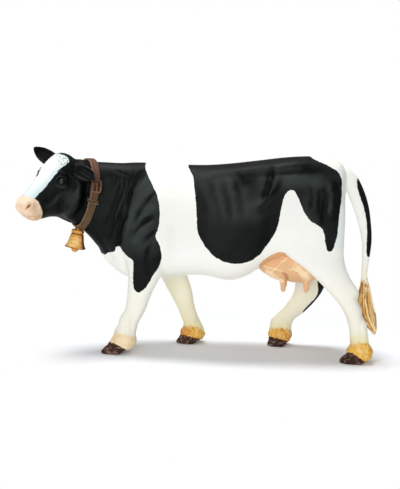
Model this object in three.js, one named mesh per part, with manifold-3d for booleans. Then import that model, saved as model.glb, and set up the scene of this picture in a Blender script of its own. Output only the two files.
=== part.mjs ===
// A moulded and painted toy dairy cow, walking, with a strap collar and a bell.
// Millimetres, +Z up, the nose toward -X, the cow's left side toward -Y.
// Each moulding is a smooth loft through rows of sections. Rows are shares of the driving sizes,
// and the mouldings meet in flat seams with a peg on one side and a socket on the other.
import * as THREE from 'three';
import { mergeVertices } from 'three/addons/utils/BufferGeometryUtils.js';
import Module from 'manifold-3d';

const wasm = await Module();
wasm.setup();

// Whole animal
const bodyLength = 100;
const pollHeight = 80;
const barrelWidth = 36;

// Neck at the collar: across, and from crest to throat
const neckWidth = 16.8;
const neckDepth = 26.6;

// Head: poll to nose, across the eye sockets, forehead to jaw
const headLength = 28.1;
const headWidth = 15.2;
const headDepth = 18.5;
const nostrilWidth = 1.5;
const nostrilDepth = 1.8;
const eyeWidth = 2.5;
const eyeThickness = 2;

// Ears
const earLength = 10.5;
const earWidth = 6.4;
const earThickness = 2.2;
const earRoot = 1.6;
const earCupLength = 8;
const earCupWidth = 4.2;
const earCupDepth = 2.2;
const earCupLift = 1.3;

// Legs: fore-and-aft and sideways at the thinnest, and the split hooves
const foreShankDepth = 7.8;
const foreShankWidth = 6.4;
const hindShankDepth = 7.4;
const hindShankWidth = 6.2;
const coronetRise = 3.4;
const coronetRun = 9.4;
const cleftWidth = 1.1;
const cleftDepth = 3.6;
const cleftHeight = 3.4;

// Udder
const udderLength = 27;
const udderWidth = 19;
const udderDepth = 14;
const teatLength = 5;
const teatDiameter = 2.4;
const teatRootDiameter = 2.8;
const teatBuried = 3.5;

// Tail
const tailDepth = 6.4;
const tailWidth = 4.6;
const tuftDepth = 6.2;
const tuftWidth = 5.2;

// Collar and its metalwork
const strapWidth = 3.2;
const strapThickness = 0.9;
const buckleLength = 4.8;
const buckleWidth = 3.9;
const buckleBar = 0.8;
const buckleThickness = 0.8;
const keeperLength = 1.4;
const keeperWall = 0.4;
const tongueLength = 8;
const tongueThickness = 0.6;
const bandReach = 8;

// Bell
const bellHeight = 7.4;
const bellMouthWidth = 8.4;
const bellMouthDepth = 6.6;
const bellRecess = 1.4;
const bellWall = 0.8;
const bellLug = 2.6;
const clapperDiameter = 3;
const clapperStem = 1.2;

// Modelled masses: shoulder, shoulder blade, the crease before it, the elbow's fold, ribs and flank,
// hook bone, thigh, the folds of the thigh and the edge of the loin
const shoulderWidth = 9;
const shoulderRise = 0.9;
const bladeWidth = 2.8;
const bladeRise = 0.6;
const creaseWidth = 2.4;
const creaseDepth = 1.3;
const elbowWidth = 2.8;
const elbowDepth = 0.9;
const ribWidth = 2.6;
const ribDepth = 0.5;
const flankWidth = 4.5;
const flankDepth = 0.8;
const hookWidth = 2.6;
const hookRise = 1.1;
const thighWidth = 7;
const thighRise = 0.6;
const foldWidth = 2.8;
const foldDepth = 0.5;
const loinWidth = 2.4;
const loinDepth = 0.6;

// Joins between mouldings
const pegDiameter = 6;
const pegLength = 5;
const neckPegDiameter = 8;
const fitGap = 0.3;
const cutOverrun = 60;

// How finely the forms are divided
const trunkSides = 34;
const bodySides = 28;
const limbSides = 18;
const trimSides = 12;
const stepsPerRow = 2;
const arcSteps = 4;

// How square the sections are: 2 is an oval
const limbPower = 2.3;
const udderPower = 2.2;
const bellPower = 3;

/** A direction or place from its three parts. */
const vec = (x, y, z) => new THREE.Vector3(x, y, z);

/** Degrees as radians. */
const rad = THREE.MathUtils.degToRad;

/** A place on the body: shares of its length, its barrel's width and its height at the poll. */
const bodyPlace = (along, side, height) =>
  vec(along * bodyLength, side * barrelWidth, height * pollHeight);

/** A number raised to a power with its sign kept. */
const signedPower = (value, power) => Math.sign(value) * Math.abs(value) ** power;

/** Rows of numbers blended smoothly, with a set number of steps between neighbours. */
function smoothRows(rows, steps = stepsPerRow) {
  const width = rows[0].length;
  const places = rows.map((_, index) => index);
  const blend = new THREE.CubicInterpolant(places, rows.flat(), width, new Float64Array(width));
  const count = (rows.length - 1) * steps;
  return Array.from({ length: count + 1 }, (_, index) => [...blend.evaluate(index / steps)]);
}

/**
 * One section of a loft. It is centred on a place and lies along two directions. It has its own reach
 * upward and downward, and a power for each half that runs from an oval to a squarer form.
 */
function section({ centre, across, up, half, rise, drop, high = 2, low = high }, sides, grow) {
  return Array.from({ length: sides }, (_, index) => {
    const angle = (index / sides) * Math.PI * 2;
    const power = Math.sin(angle) >= 0 ? high : low;
    const reach = Math.sin(angle) >= 0 ? rise : drop;
    return centre.clone()
      .addScaledVector(across, (half + grow) * signedPower(Math.cos(angle), 2 / power))
      .addScaledVector(up, (reach + grow) * signedPower(Math.sin(angle), 2 / power));
  });
}

/** Moves the first and last sections outward along the loft, for a form grown on every side. */
function growEnds(sections, grow) {
  const last = sections.length - 1;
  const start = sections[0].centre.clone().sub(sections[1].centre).setLength(grow);
  const end = sections[last].centre.clone().sub(sections[last - 1].centre).setLength(grow);
  return sections.map((one, index) => {
    const centre = one.centre.clone();
    if (index === 0) centre.add(start);
    if (index === last) centre.add(end);
    return { ...one, centre };
  });
}

/** The mid point of a ring of points. */
function middle(points) {
  return points.reduce((sum, point) => sum.add(point), vec(0, 0, 0)).divideScalar(points.length);
}

/** A ring's points raised or sunk by the body's modelled masses, each away from the ring's middle. */
function fleshed(points, { centre }) {
  return points.map((point) => {
    const out = point.clone().sub(centre).normalize();
    return point.clone().addScaledVector(out, relief(point) * Math.abs(out.y));
  });
}

/** A closed loft through sections, with a fan at each end, and with the modelled masses if it has flesh. */
function loft(sections, sides, grow = 0, flesh = false) {
  const placed = grow ? growEnds(sections, grow) : sections;
  const bare = placed.map((one) => section(one, sides, grow));
  const rings = flesh ? bare.map((points, index) => fleshed(points, placed[index])) : bare;
  const points = [...rings.flat(), middle(rings[0]), middle(rings[rings.length - 1])];
  const [startHub, endHub] = [points.length - 2, points.length - 1];
  const lastRing = (rings.length - 1) * sides;
  const faces = [];
  for (let side = 0; side < sides; side += 1) {
    const next = (side + 1) % sides;
    for (let base = 0; base < lastRing; base += sides) {
      const [a, b, c, d] = [base + side, base + next, base + sides + next, base + sides + side];
      faces.push(a, b, c, a, c, d);
    }
    faces.push(startHub, next, side, endHub, lastRing + side, lastRing + next);
  }
  const shape = new THREE.BufferGeometry();
  const places = points.flatMap((point) => point.toArray());
  shape.setAttribute('position', new THREE.Float32BufferAttribute(places, 3));
  shape.setIndex(faces);
  return solid(shape);
}

/** Six times the signed volume of a closed geometry: negative when its faces point inward. */
function signedVolume(shape) {
  const place = shape.attributes.position;
  const corners = shape.index.array;
  const [a, b, c] = [vec(0, 0, 0), vec(0, 0, 0), vec(0, 0, 0)];
  let total = 0;
  for (let index = 0; index < corners.length; index += 3) {
    a.fromBufferAttribute(place, corners[index]);
    b.fromBufferAttribute(place, corners[index + 1]);
    c.fromBufferAttribute(place, corners[index + 2]);
    total += a.dot(b.cross(c));
  }
  return total;
}

/** A closed geometry as a solid that can be joined and cut. */
function solid(geometry) {
  const shape = geometry.clone();
  shape.deleteAttribute('normal');
  shape.deleteAttribute('uv');
  const merged = mergeVertices(shape, 1e-3);
  const corners = Uint32Array.from(merged.index.array);
  if (signedVolume(merged) < 0) corners.reverse();
  const vertProperties = Float32Array.from(merged.attributes.position.array);
  return new wasm.Manifold(new wasm.Mesh({ numProp: 3, vertProperties, triVerts: corners }));
}

/** A solid as a geometry that a mesh can show. */
function geometryOf(body) {
  const mesh = body.getMesh();
  const shape = new THREE.BufferGeometry();
  shape.setAttribute('position', new THREE.BufferAttribute(Float32Array.from(mesh.vertProperties), 3));
  shape.setIndex(new THREE.BufferAttribute(Uint32Array.from(mesh.triVerts), 1));
  shape.computeVertexNormals();
  return shape;
}

/** A geometry moved into a frame of three directions at an origin. */
function placedIn(geometry, origin, x, y, z) {
  return geometry.clone().applyMatrix4(new THREE.Matrix4().makeBasis(x, y, z).setPosition(origin));
}

/** A cylinder on a line: its start, direction, length and diameter. */
function rod(start, direction, length, diameter, sides = trimSides) {
  const shape = new THREE.CylinderGeometry(diameter / 2, diameter / 2, length, sides);
  const turn = new THREE.Quaternion().setFromUnitVectors(vec(0, 1, 0), direction);
  shape.applyQuaternion(turn);
  const centre = start.clone().addScaledVector(direction, length / 2);
  return solid(shape.translate(centre.x, centre.y, centre.z));
}

/** A flat shape given a thickness, centred on that thickness. */
function plate(outline, thickness) {
  const settings = { depth: thickness, bevelEnabled: false, curveSegments: arcSteps };
  const shape = new THREE.ExtrudeGeometry(outline, settings);
  return shape.translate(0, 0, -thickness / 2);
}

// Modelled masses and folds on both flanks: width and height in millimetres, below zero where sunk, and
// the line that each follows, as shares of the body's length and height.
const masses = [
  { width: shoulderWidth, height: shoulderRise, lineShares: [[-0.33, 0.8], [-0.35, 0.65], [-0.35, 0.56]] },
  { width: bladeWidth, height: bladeRise, lineShares: [[-0.33, 0.91], [-0.37, 0.79], [-0.41, 0.64]] },
  {
    width: creaseWidth,
    height: -creaseDepth,
    lineShares: [[-0.35, 0.93], [-0.39, 0.81], [-0.425, 0.69], [-0.445, 0.56]],
  },
  { width: elbowWidth, height: -elbowDepth, lineShares: [[-0.26, 0.66], [-0.25, 0.56], [-0.27, 0.43]] },
  { width: ribWidth, height: -ribDepth, lineShares: [[-0.1, 0.86], [-0.085, 0.78], [-0.08, 0.68]] },
  { width: ribWidth, height: -ribDepth, lineShares: [[0.02, 0.87], [0.035, 0.79], [0.045, 0.69]] },
  { width: flankWidth, height: -flankDepth, lineShares: [[0.07, 0.83], [0.11, 0.76]] },
  {
    width: hookWidth,
    height: hookRise,
    lineShares: [[0.155, 0.9], [0.15, 0.86], [0.135, 0.8], [0.1, 0.75]],
  },
  { width: thighWidth, height: thighRise, lineShares: [[0.27, 0.76], [0.28, 0.65]] },
  { width: foldWidth, height: -foldDepth, lineShares: [[0.325, 0.83], [0.34, 0.77], [0.32, 0.65]] },
  { width: foldWidth, height: -foldDepth, lineShares: [[0.14, 0.68], [0.15, 0.59], [0.13, 0.52]] },
  { width: loinWidth, height: -loinDepth, lineShares: [[-0.13, 0.88], [0.03, 0.91], [0.36, 0.92]] },
];

/** How far the modelled masses raise or sink the skin beside a place. */
function relief(place) {
  const side = vec(place.x, 0, place.z);
  const nearest = vec(0, 0, 0);
  const heights = masses.map(({ width, height, lineShares }) => {
    const line = lineShares.map(([along, up]) => bodyPlace(along, 0, up));
    const apart = line.slice(1).map((end, index) =>
      new THREE.Line3(line[index], end).closestPointToPoint(side, true, nearest).distanceTo(side));
    return height * Math.exp(-((Math.min(...apart) / width) ** 2));
  });
  return heights.reduce((sum, one) => sum + one, 0);
}

/** A rectangle with round corners. */
function roundedRectangle(Path, length, width, radius) {
  const [x, y] = [length / 2 - radius, width / 2 - radius];
  return new Path()
    .absarc(x, y, radius, 0, Math.PI / 2)
    .absarc(-x, y, radius, Math.PI / 2, Math.PI)
    .absarc(-x, -y, radius, Math.PI, Math.PI * 1.5)
    .absarc(x, -y, radius, Math.PI * 1.5, Math.PI * 2)
    .closePath();
}

// Trunk rows: along, top, underside and widest heights, half width, and the powers of the two halves.
const trunkShares = [
  [-0.575, 0.86, 0.56, 0.7, 0.1, 2, 2],
  [-0.56, 0.91, 0.49, 0.68, 0.2, 2, 2],
  [-0.52, 0.94, 0.425, 0.64, 0.27, 2, 2],
  [-0.46, 0.953, 0.375, 0.6, 0.335, 2, 2.1],
  [-0.4, 0.956, 0.362, 0.58, 0.385, 2, 2.2],
  [-0.32, 0.953, 0.372, 0.57, 0.415, 2, 2.2],
  [-0.22, 0.946, 0.386, 0.575, 0.455, 2.1, 2.2],
  [-0.12, 0.944, 0.388, 0.58, 0.49, 2.1, 2.2],
  [-0.03, 0.951, 0.366, 0.57, 0.5, 2.1, 2.1],
  [0.04, 0.96, 0.388, 0.575, 0.495, 2.2, 2.1],
  [0.11, 0.97, 0.44, 0.6, 0.465, 2.4, 2.1],
  [0.18, 0.98, 0.475, 0.64, 0.43, 2.7, 2.1],
  [0.25, 0.986, 0.49, 0.68, 0.405, 2.6, 2.1],
  [0.32, 0.986, 0.51, 0.7, 0.37, 2.3, 2.1],
  [0.38, 0.975, 0.56, 0.72, 0.31, 2.1, 2],
  [0.415, 0.945, 0.64, 0.76, 0.23, 2, 2],
  [0.428, 0.9, 0.72, 0.81, 0.12, 2, 2],
];

/** The trunk from the brisket to the pin bones. */
function trunk() {
  const sections = smoothRows(trunkShares).map(([along, top, under, widest, half, high, low]) => ({
    centre: bodyPlace(along, 0, widest),
    across: vec(0, 1, 0),
    up: vec(0, 0, 1),
    half: half * barrelWidth,
    rise: (top - widest) * pollHeight,
    drop: (widest - under) * pollHeight,
    high,
    low,
  }));
  return loft(sections, trunkSides, 0, true);
}

// Neck rows: place on the body, turn toward the near side and lift in degrees, then half width, rise
// and drop as shares of the neck at the collar.
const neckRowsShares = [
  [-0.34, 0, 0.712, 0, 0, 0.655, 0.7, 0.68],
  [-0.44, -0.017, 0.735, 8, 5, 0.62, 0.655, 0.76],
  [-0.515, -0.061, 0.76, 19, 9, 0.571, 0.592, 0.77],
  [-0.57, -0.111, 0.782, 31, 11, 0.53, 0.54, 0.61],
  [-0.613, -0.175, 0.799, 42, 11.3, 0.5, 0.5, 0.5],
  [-0.655, -0.267, 0.822, 49, 14, 0.464, 0.47, 0.44],
  [-0.69, -0.361, 0.85, 56, 16, 0.36, 0.32, 0.27],
];
const collarRow = 4;

/** The frame of a neck section: forward along the neck, across it to the left, and up. */
function neckFrame(turn, lift) {
  const [yaw, rise] = [rad(turn), rad(lift)];
  const level = vec(-Math.cos(yaw), -Math.sin(yaw), 0);
  const forward = level.clone().multiplyScalar(Math.cos(rise)).add(vec(0, 0, Math.sin(rise)));
  const left = vec(Math.sin(yaw), -Math.cos(yaw), 0);
  return { forward, left, up: new THREE.Vector3().crossVectors(left, forward).negate() };
}

/** The neck's sections, from inside the chest to inside the head. */
function neckSections() {
  return smoothRows(neckRowsShares).map(([along, side, height, turn, lift, half, rise, drop]) => {
    const { left, up } = neckFrame(turn, lift);
    return {
      centre: bodyPlace(along, side, height),
      across: left,
      up,
      half: half * neckWidth,
      rise: rise * neckDepth,
      drop: drop * neckDepth,
    };
  });
}

/** The collar's plane: its centre on the neck and the directions of the neck there. */
function collarPlane() {
  const [along, side, height, turn, lift] = neckRowsShares[collarRow];
  return { centre: bodyPlace(along, side, height), ...neckFrame(turn, lift) };
}

/** Leg rows for the other side of the animal. */
function mirrored(rowsShares) {
  return rowsShares.map(([height, along, side, deep, wide]) => [height, along, -side, deep, wide]);
}

// Leg rows: height, along and side places of the middle, then fore-and-aft and sideways sizes as
// multiples of the shank. The first rows are the hoof, its coronet and the fringe above it.
const foreTopShares = [
  [0.45, -0.3525, -0.278, 1.99, 1.88],
  [0.5375, -0.36, -0.244, 2.31, 1.95],
  [0.6375, -0.375, -0.222, 2.18, 1.95],
  [0.7375, -0.3875, -0.194, 1.73, 1.8],
  [0.8375, -0.392, -0.153, 1.09, 1.4],
  [0.9, -0.395, -0.111, 0.64, 0.78],
];
const foreLeftShares = [
  [0, -0.481, -0.306, 1.31, 1.34],
  [0.01, -0.4775, -0.306, 1.32, 1.38],
  [0.03, -0.461, -0.306, 1.22, 1.25],
  [0.035, -0.457, -0.306, 1.41, 1.42],
  [0.075, -0.446, -0.306, 1.28, 1.36],
  [0.1, -0.439, -0.306, 1.13, 1.14],
  [0.125, -0.4315, -0.306, 1.05, 1.03],
  [0.1625, -0.418, -0.306, 1, 1],
  [0.2125, -0.3965, -0.306, 1.04, 1.09],
  [0.25, -0.3875, -0.306, 1.12, 1.19],
  [0.2875, -0.38, -0.303, 1.21, 1.22],
  [0.3375, -0.369, -0.3, 1.41, 1.41],
  [0.3875, -0.3575, -0.292, 1.65, 1.64],
  ...foreTopShares,
];
const foreRightShares = [
  [0, -0.212, 0.306, 1.33, 1.34],
  [0.01, -0.2105, 0.306, 1.34, 1.38],
  [0.03, -0.202, 0.306, 1.23, 1.25],
  [0.035, -0.2, 0.306, 1.38, 1.42],
  [0.075, -0.194, 0.306, 1.23, 1.36],
  [0.1, -0.196, 0.306, 1.13, 1.14],
  [0.125, -0.2045, 0.306, 1.01, 1.03],
  [0.1625, -0.2165, 0.306, 0.96, 1],
  [0.2125, -0.2325, 0.306, 1.04, 1.09],
  [0.25, -0.2425, 0.306, 1.19, 1.19],
  [0.2875, -0.2535, 0.303, 1.33, 1.22],
  [0.3375, -0.2705, 0.3, 1.42, 1.41],
  [0.3875, -0.286, 0.292, 1.54, 1.64],
  [0.45, -0.3125, 0.278, 1.86, 1.88],
  [0.5375, -0.3475, 0.244, 2.24, 1.95],
  ...mirrored(foreTopShares.slice(2)),
];
const hindTopShares = [
  [0.5875, 0.298, -0.25, 3.46, 2],
  [0.675, 0.299, -0.231, 3.49, 2.1],
  [0.7625, 0.308, -0.217, 3.19, 2.1],
  [0.8375, 0.315, -0.194, 2.57, 1.94],
  [0.9, 0.315, -0.167, 1.76, 1.45],
  [0.9375, 0.315, -0.139, 0.95, 0.81],
];
const hindLeftShares = [
  [0, 0.47, -0.333, 1.41, 1.39],
  [0.01, 0.4735, -0.333, 1.42, 1.42],
  [0.03, 0.488, -0.333, 1.24, 1.29],
  [0.035, 0.4905, -0.333, 1.39, 1.45],
  [0.08, 0.492, -0.333, 1.19, 1.32],
  [0.10625, 0.489, -0.333, 1, 1.13],
  [0.15, 0.485, -0.333, 0.95, 1],
  [0.2, 0.478, -0.333, 1, 1],
  [0.25, 0.4655, -0.331, 1.09, 1.06],
  [0.3, 0.446, -0.328, 1.35, 1.13],
  [0.35, 0.421, -0.325, 1.65, 1.23],
  [0.4, 0.387, -0.317, 1.81, 1.35],
  [0.45, 0.355, -0.303, 2.18, 1.53],
  [0.5125, 0.315, -0.275, 2.97, 1.77],
  ...hindTopShares,
];
const hindRightShares = [
  [0, 0.1685, 0.333, 1.28, 1.39],
  [0.01, 0.1695, 0.333, 1.28, 1.42],
  [0.03, 0.1695, 0.333, 1.18, 1.29],
  [0.035, 0.1725, 0.333, 1.34, 1.45],
  [0.08, 0.1765, 0.333, 1.28, 1.32],
  [0.10625, 0.1755, 0.333, 1.2, 1.13],
  [0.1375, 0.183, 0.333, 1.22, 1],
  [0.175, 0.2175, 0.333, 1.36, 1],
  [0.225, 0.254, 0.331, 1.43, 1.06],
  [0.275, 0.281, 0.328, 1.54, 1.13],
  [0.3125, 0.2925, 0.325, 1.64, 1.23],
  [0.3625, 0.3, 0.317, 1.89, 1.4],
  [0.425, 0.3, 0.3, 2.57, 1.6],
  [0.5125, 0.2965, 0.272, 3.2, 1.8],
  ...mirrored(hindTopShares),
];

// Each leg's seam: where its column leaves the trunk.
const coronetShare = 0.03;
const fetlockShares = [0.08, 0.16];
const seamTilt = 35;
const fore = { depth: foreShankDepth, width: foreShankWidth };
const hind = { depth: hindShankDepth, width: hindShankWidth };
const legs = [
  {
    name: 'leg_front_left',
    side: -1,
    shank: fore,
    rowsShares: foreLeftShares,
    seamShares: [-0.36, 0.25, 0.425],
  },
  {
    name: 'leg_front_right',
    side: 1,
    shank: fore,
    rowsShares: foreRightShares,
    seamShares: [-0.315, 0.25, 0.425],
  },
  {
    name: 'leg_rear_left',
    side: -1,
    shank: hind,
    rowsShares: hindLeftShares,
    seamShares: [0.325, 0.25, 0.5],
  },
  {
    name: 'leg_rear_right',
    side: 1,
    shank: hind,
    rowsShares: hindRightShares,
    seamShares: [0.3, 0.25, 0.5],
  },
];

/** How much of the coronet's slope a leg's section has: none at the sole, and none above the fetlock. */
function coronetSlope(height) {
  const { smoothstep } = THREE.MathUtils;
  const rim = Math.min(height / coronetShare, 1);
  return (rim * (1 - smoothstep(height, fetlockShares[0], fetlockShares[1])) * coronetRise) / coronetRun;
}

/** A leg from its flat sole up into the trunk, as wide as asked. */
function legColumn({ rowsShares, shank }, grow) {
  const sections = smoothRows(rowsShares, 1).map(([height, along, side, deep, wide]) => ({
    centre: bodyPlace(along, side, height),
    across: vec(1, 0, -coronetSlope(height)),
    up: vec(0, 1, 0),
    half: (deep * shank.depth) / 2,
    rise: (wide * shank.width) / 2,
    drop: (wide * shank.width) / 2,
    high: limbPower,
  }));
  return loft(sections, limbSides, grow, true);
}

/** The wedge that splits a hoof from its toe backward. */
function cleft(rowsShares, shank) {
  const [, along, side, deep] = rowsShares[0];
  const toe = bodyPlace(along, side, 0).add(vec((-deep * shank.depth) / 2, 0, 0));
  const wedge = new THREE.Shape()
    .moveTo(-cleftDepth, cleftWidth)
    .lineTo(-cleftDepth, -cleftWidth)
    .lineTo(cleftDepth, 0)
    .closePath();
  const cut = plate(wedge, cleftHeight * 2).translate(toe.x, toe.y, toe.z);
  return solid(cut);
}

/** A leg's seam: a place in the hip or shoulder and the direction square to it, into the trunk. */
function legSeam({ seamShares, side }) {
  const [along, aside, height] = seamShares;
  const tilt = rad(seamTilt);
  const inward = vec(0, -side * Math.sin(tilt), Math.cos(tilt));
  return { centre: bodyPlace(along, aside * side, height), inward, across: vec(1, 0, 0) };
}

/** What belongs to a leg: its own column below its seam, less or plus a margin. */
function legRegion(leg, margin) {
  const { centre, inward, across } = legSeam(leg);
  const slab = new THREE.BoxGeometry(cutOverrun * 2, cutOverrun * 2, cutOverrun);
  const slope = new THREE.Vector3().crossVectors(inward, across);
  const middleOfSlab = centre.clone().addScaledVector(inward, margin - cutOverrun / 2);
  const below = solid(placedIn(slab, middleOfSlab, across, slope, inward));
  return legColumn(leg, margin).intersect(below);
}

/** The peg on top of a leg, or with a margin the socket that takes it. */
function legPeg(leg, margin) {
  const { centre, inward } = legSeam(leg);
  const start = centre.clone().addScaledVector(inward, -pegLength);
  return rod(start, inward, pegLength * 2 + margin, pegDiameter + margin * 2);
}

// Head: where the poll stands on the body, and how the face is turned, sloped and rolled.
const pollPlaceShares = [-0.685, -0.361, 1.002];
const headTurn = 40;
const faceSlope = 47;
const headRoll = 20;

/** The head's frame: down the face, out to its left, and out of the forehead. */
function headFrame() {
  const [yaw, slope, roll] = [rad(headTurn), rad(faceSlope), rad(headRoll)];
  const down = vec(-Math.cos(yaw) * Math.cos(slope), -Math.sin(yaw) * Math.cos(slope), -Math.sin(slope));
  const level = vec(Math.sin(yaw), -Math.cos(yaw), 0);
  const out = new THREE.Vector3().crossVectors(down, level);
  const left = level.clone().multiplyScalar(Math.cos(roll)).addScaledVector(out, -Math.sin(roll));
  const front = out.clone().multiplyScalar(Math.cos(roll)).addScaledVector(level, Math.sin(roll));
  return { poll: bodyPlace(...pollPlaceShares), down, left, front };
}

/** A place on the head: shares of its length, width and depth from the poll. */
function headPlace(along, side, out) {
  const { poll, down, left, front } = headFrame();
  return poll.clone()
    .addScaledVector(down, along * headLength)
    .addScaledVector(left, side * headWidth)
    .addScaledVector(front, out * headDepth);
}

// Head rows: along, forehead, jaw and widest places out of the face, half width, and the powers.
const headRowsShares = [
  [-0.085, -0.21, -0.44, -0.33, 0.12, 2, 2],
  [-0.055, -0.1, -0.58, -0.3, 0.26, 2.2, 2],
  [0.02, 0.01, -0.8, -0.28, 0.37, 2.3, 2],
  [0.15, 0.02, -0.99, -0.28, 0.44, 2.5, 2.1],
  [0.3, 0.01, -1.12, -0.28, 0.48, 2.5, 2.1],
  [0.42, 0, -1.16, -0.34, 0.46, 2.3, 2.1],
  [0.55, -0.01, -1.11, -0.38, 0.41, 2.2, 2],
  [0.66, -0.02, -0.98, -0.36, 0.36, 2.2, 2],
  [0.77, -0.02, -0.8, -0.32, 0.335, 2.2, 2],
  [0.88, -0.02, -0.66, -0.3, 0.35, 2.3, 2.1],
  [0.96, -0.05, -0.56, -0.29, 0.33, 2.3, 2.2],
  [1, -0.13, -0.46, -0.29, 0.23, 2, 2],
];

/** The skull and muzzle as one loft. */
function headForm() {
  const { left, front } = headFrame();
  const sections = smoothRows(headRowsShares).map(([along, top, jaw, widest, half, high, low]) => ({
    centre: headPlace(along, 0, widest),
    across: left,
    up: front,
    half: half * headWidth,
    rise: (top - widest) * headDepth,
    drop: (widest - jaw) * headDepth,
    high,
    low,
  }));
  return loft(sections, bodySides);
}

/** A ball stretched along three directions. */
function pebble(centre, x, y, z, sizes) {
  const ball = new THREE.SphereGeometry(1, trimSides, trimSides / 2);
  ball.scale(sizes[0] / 2, sizes[1] / 2, sizes[2] / 2);
  return solid(placedIn(ball, centre, x, y, z));
}

// Face features on the left of the head: along, side and out places.
const eyePlaceShares = [0.34, 0.475, -0.2];
const nostrilPlaceShares = [0.92, 0.27, -0.13];

/** The head with its eyeballs, nostrils and the front of the neck. */
function headWhole(neck) {
  const { down, left, front } = headFrame();
  let head = headForm().add(neck);
  for (const side of [1, -1]) {
    const [along, aside, out] = eyePlaceShares;
    const eye = headPlace(along, aside * side, out);
    head = head.add(pebble(eye, down, left, front, [eyeWidth, eyeThickness, eyeWidth]));
    const [forward, apart, raise] = nostrilPlaceShares;
    const nostril = headPlace(forward, apart * side, raise);
    head = head.subtract(pebble(nostril, down, left, front, [nostrilWidth, nostrilWidth, nostrilDepth]));
  }
  return head;
}

// Ears: the root's place on the left of the head, and the direction of each ear in the head's frame.
const earPlaceShares = [0.075, 0.36, -0.3];
const ears = [
  { name: 'ear_left', side: 1, direction: vec(-0.02, 0.95, -0.31) },
  { name: 'ear_right', side: -1, direction: vec(0.04, -0.82, 0.57) },
];
const earRowsShares = [
  [0, 0.34, 0.5],
  [0.12, 0.36, 0.5],
  [0.28, 0.46, 0.5],
  [0.5, 0.5, 0.46],
  [0.72, 0.43, 0.38],
  [0.88, 0.27, 0.3],
  [0.97, 0.13, 0.22],
  [1, 0.05, 0.1],
];

/** An ear's frame: its root inside the head, toward its tip, across it, and out of its face. */
function earFrame({ side, direction }) {
  const { down, left, front } = headFrame();
  const [along, aside, out] = earPlaceShares;
  const pointing = vec(0, 0, 0)
    .addScaledVector(down, direction.x)
    .addScaledVector(left, direction.y)
    .addScaledVector(front, direction.z)
    .normalize();
  const across = new THREE.Vector3().crossVectors(front, pointing).normalize();
  const face = new THREE.Vector3().crossVectors(pointing, across);
  const root = headPlace(along, aside * side, out).addScaledVector(pointing, -earRoot);
  return { root, pointing, across, face };
}

/** An ear's leaf, from its root in the head to its tip. */
function earForm(ear, grow) {
  const { root, pointing, across, face } = earFrame(ear);
  const sections = smoothRows(earRowsShares).map(([share, half, thick]) => ({
    centre: root.clone().addScaledVector(pointing, share * (earLength + earRoot)),
    across,
    up: face,
    half: half * earWidth,
    rise: thick * earThickness,
    drop: thick * earThickness,
  }));
  return loft(sections, trimSides, grow);
}

/** An ear with the cup in its face. */
function earCupped(ear) {
  const { root, pointing, across, face } = earFrame(ear);
  const centre = root.addScaledVector(pointing, earRoot + earLength / 2).addScaledVector(face, earCupLift);
  const cup = pebble(centre, pointing, across, face, [earCupLength, earCupWidth, earCupDepth]);
  return earForm(ear, 0).subtract(cup);
}

// Udder rows: along its length, then half width, rise and drop, and how far its middle stands.
const udderPlaceShares = [0.085, 0, 0.462];
const udderRowsShares = [
  [0, 0.12, 0.1, 0.12, 0],
  [0.06, 0.3, 0.24, 0.26, 0],
  [0.2, 0.44, 0.4, 0.4, -0.01],
  [0.42, 0.5, 0.5, 0.52, -0.02],
  [0.64, 0.5, 0.52, 0.55, -0.03],
  [0.82, 0.44, 0.48, 0.5, -0.02],
  [0.94, 0.3, 0.34, 0.34, 0],
  [1, 0.12, 0.14, 0.14, 0],
];
const teatRootShare = 0.47;
const teatPlacesShares = [
  [0.42, 0.25],
  [0.42, -0.25],
  [0.73, 0.25],
  [0.73, -0.25],
];

/** The udder's bag. */
function udderForm(grow) {
  const front = bodyPlace(...udderPlaceShares);
  const sections = smoothRows(udderRowsShares).map(([share, half, rise, drop, lift]) => ({
    centre: front.clone().add(vec(share * udderLength, 0, lift * udderDepth)),
    across: vec(0, 1, 0),
    up: vec(0, 0, 1),
    half: half * udderWidth,
    rise: rise * udderDepth,
    drop: drop * udderDepth,
    high: udderPower,
  }));
  return loft(sections, limbSides, grow);
}

/** One teat: a tapered finger with a round end, as a revolved profile. */
function teat(share, apart) {
  const front = bodyPlace(...udderPlaceShares);
  const radius = teatDiameter / 2;
  const profile = new THREE.Path()
    .moveTo(0, -teatLength)
    .absarc(0, radius - teatLength, radius, -Math.PI / 2, 0)
    .lineTo(teatRootDiameter / 2, teatBuried)
    .lineTo(0, teatBuried);
  const shape = new THREE.LatheGeometry(profile.getPoints(arcSteps), trimSides).rotateX(Math.PI / 2);
  const top = vec(share * udderLength, apart * udderWidth, -udderDepth * teatRootShare);
  const place = front.add(top);
  return solid(shape.translate(place.x, place.y, place.z));
}

/** The udder with its four teats. */
function udder() {
  return teatPlacesShares.reduce((body, [share, apart]) => body.add(teat(share, apart)), udderForm(0));
}

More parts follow.
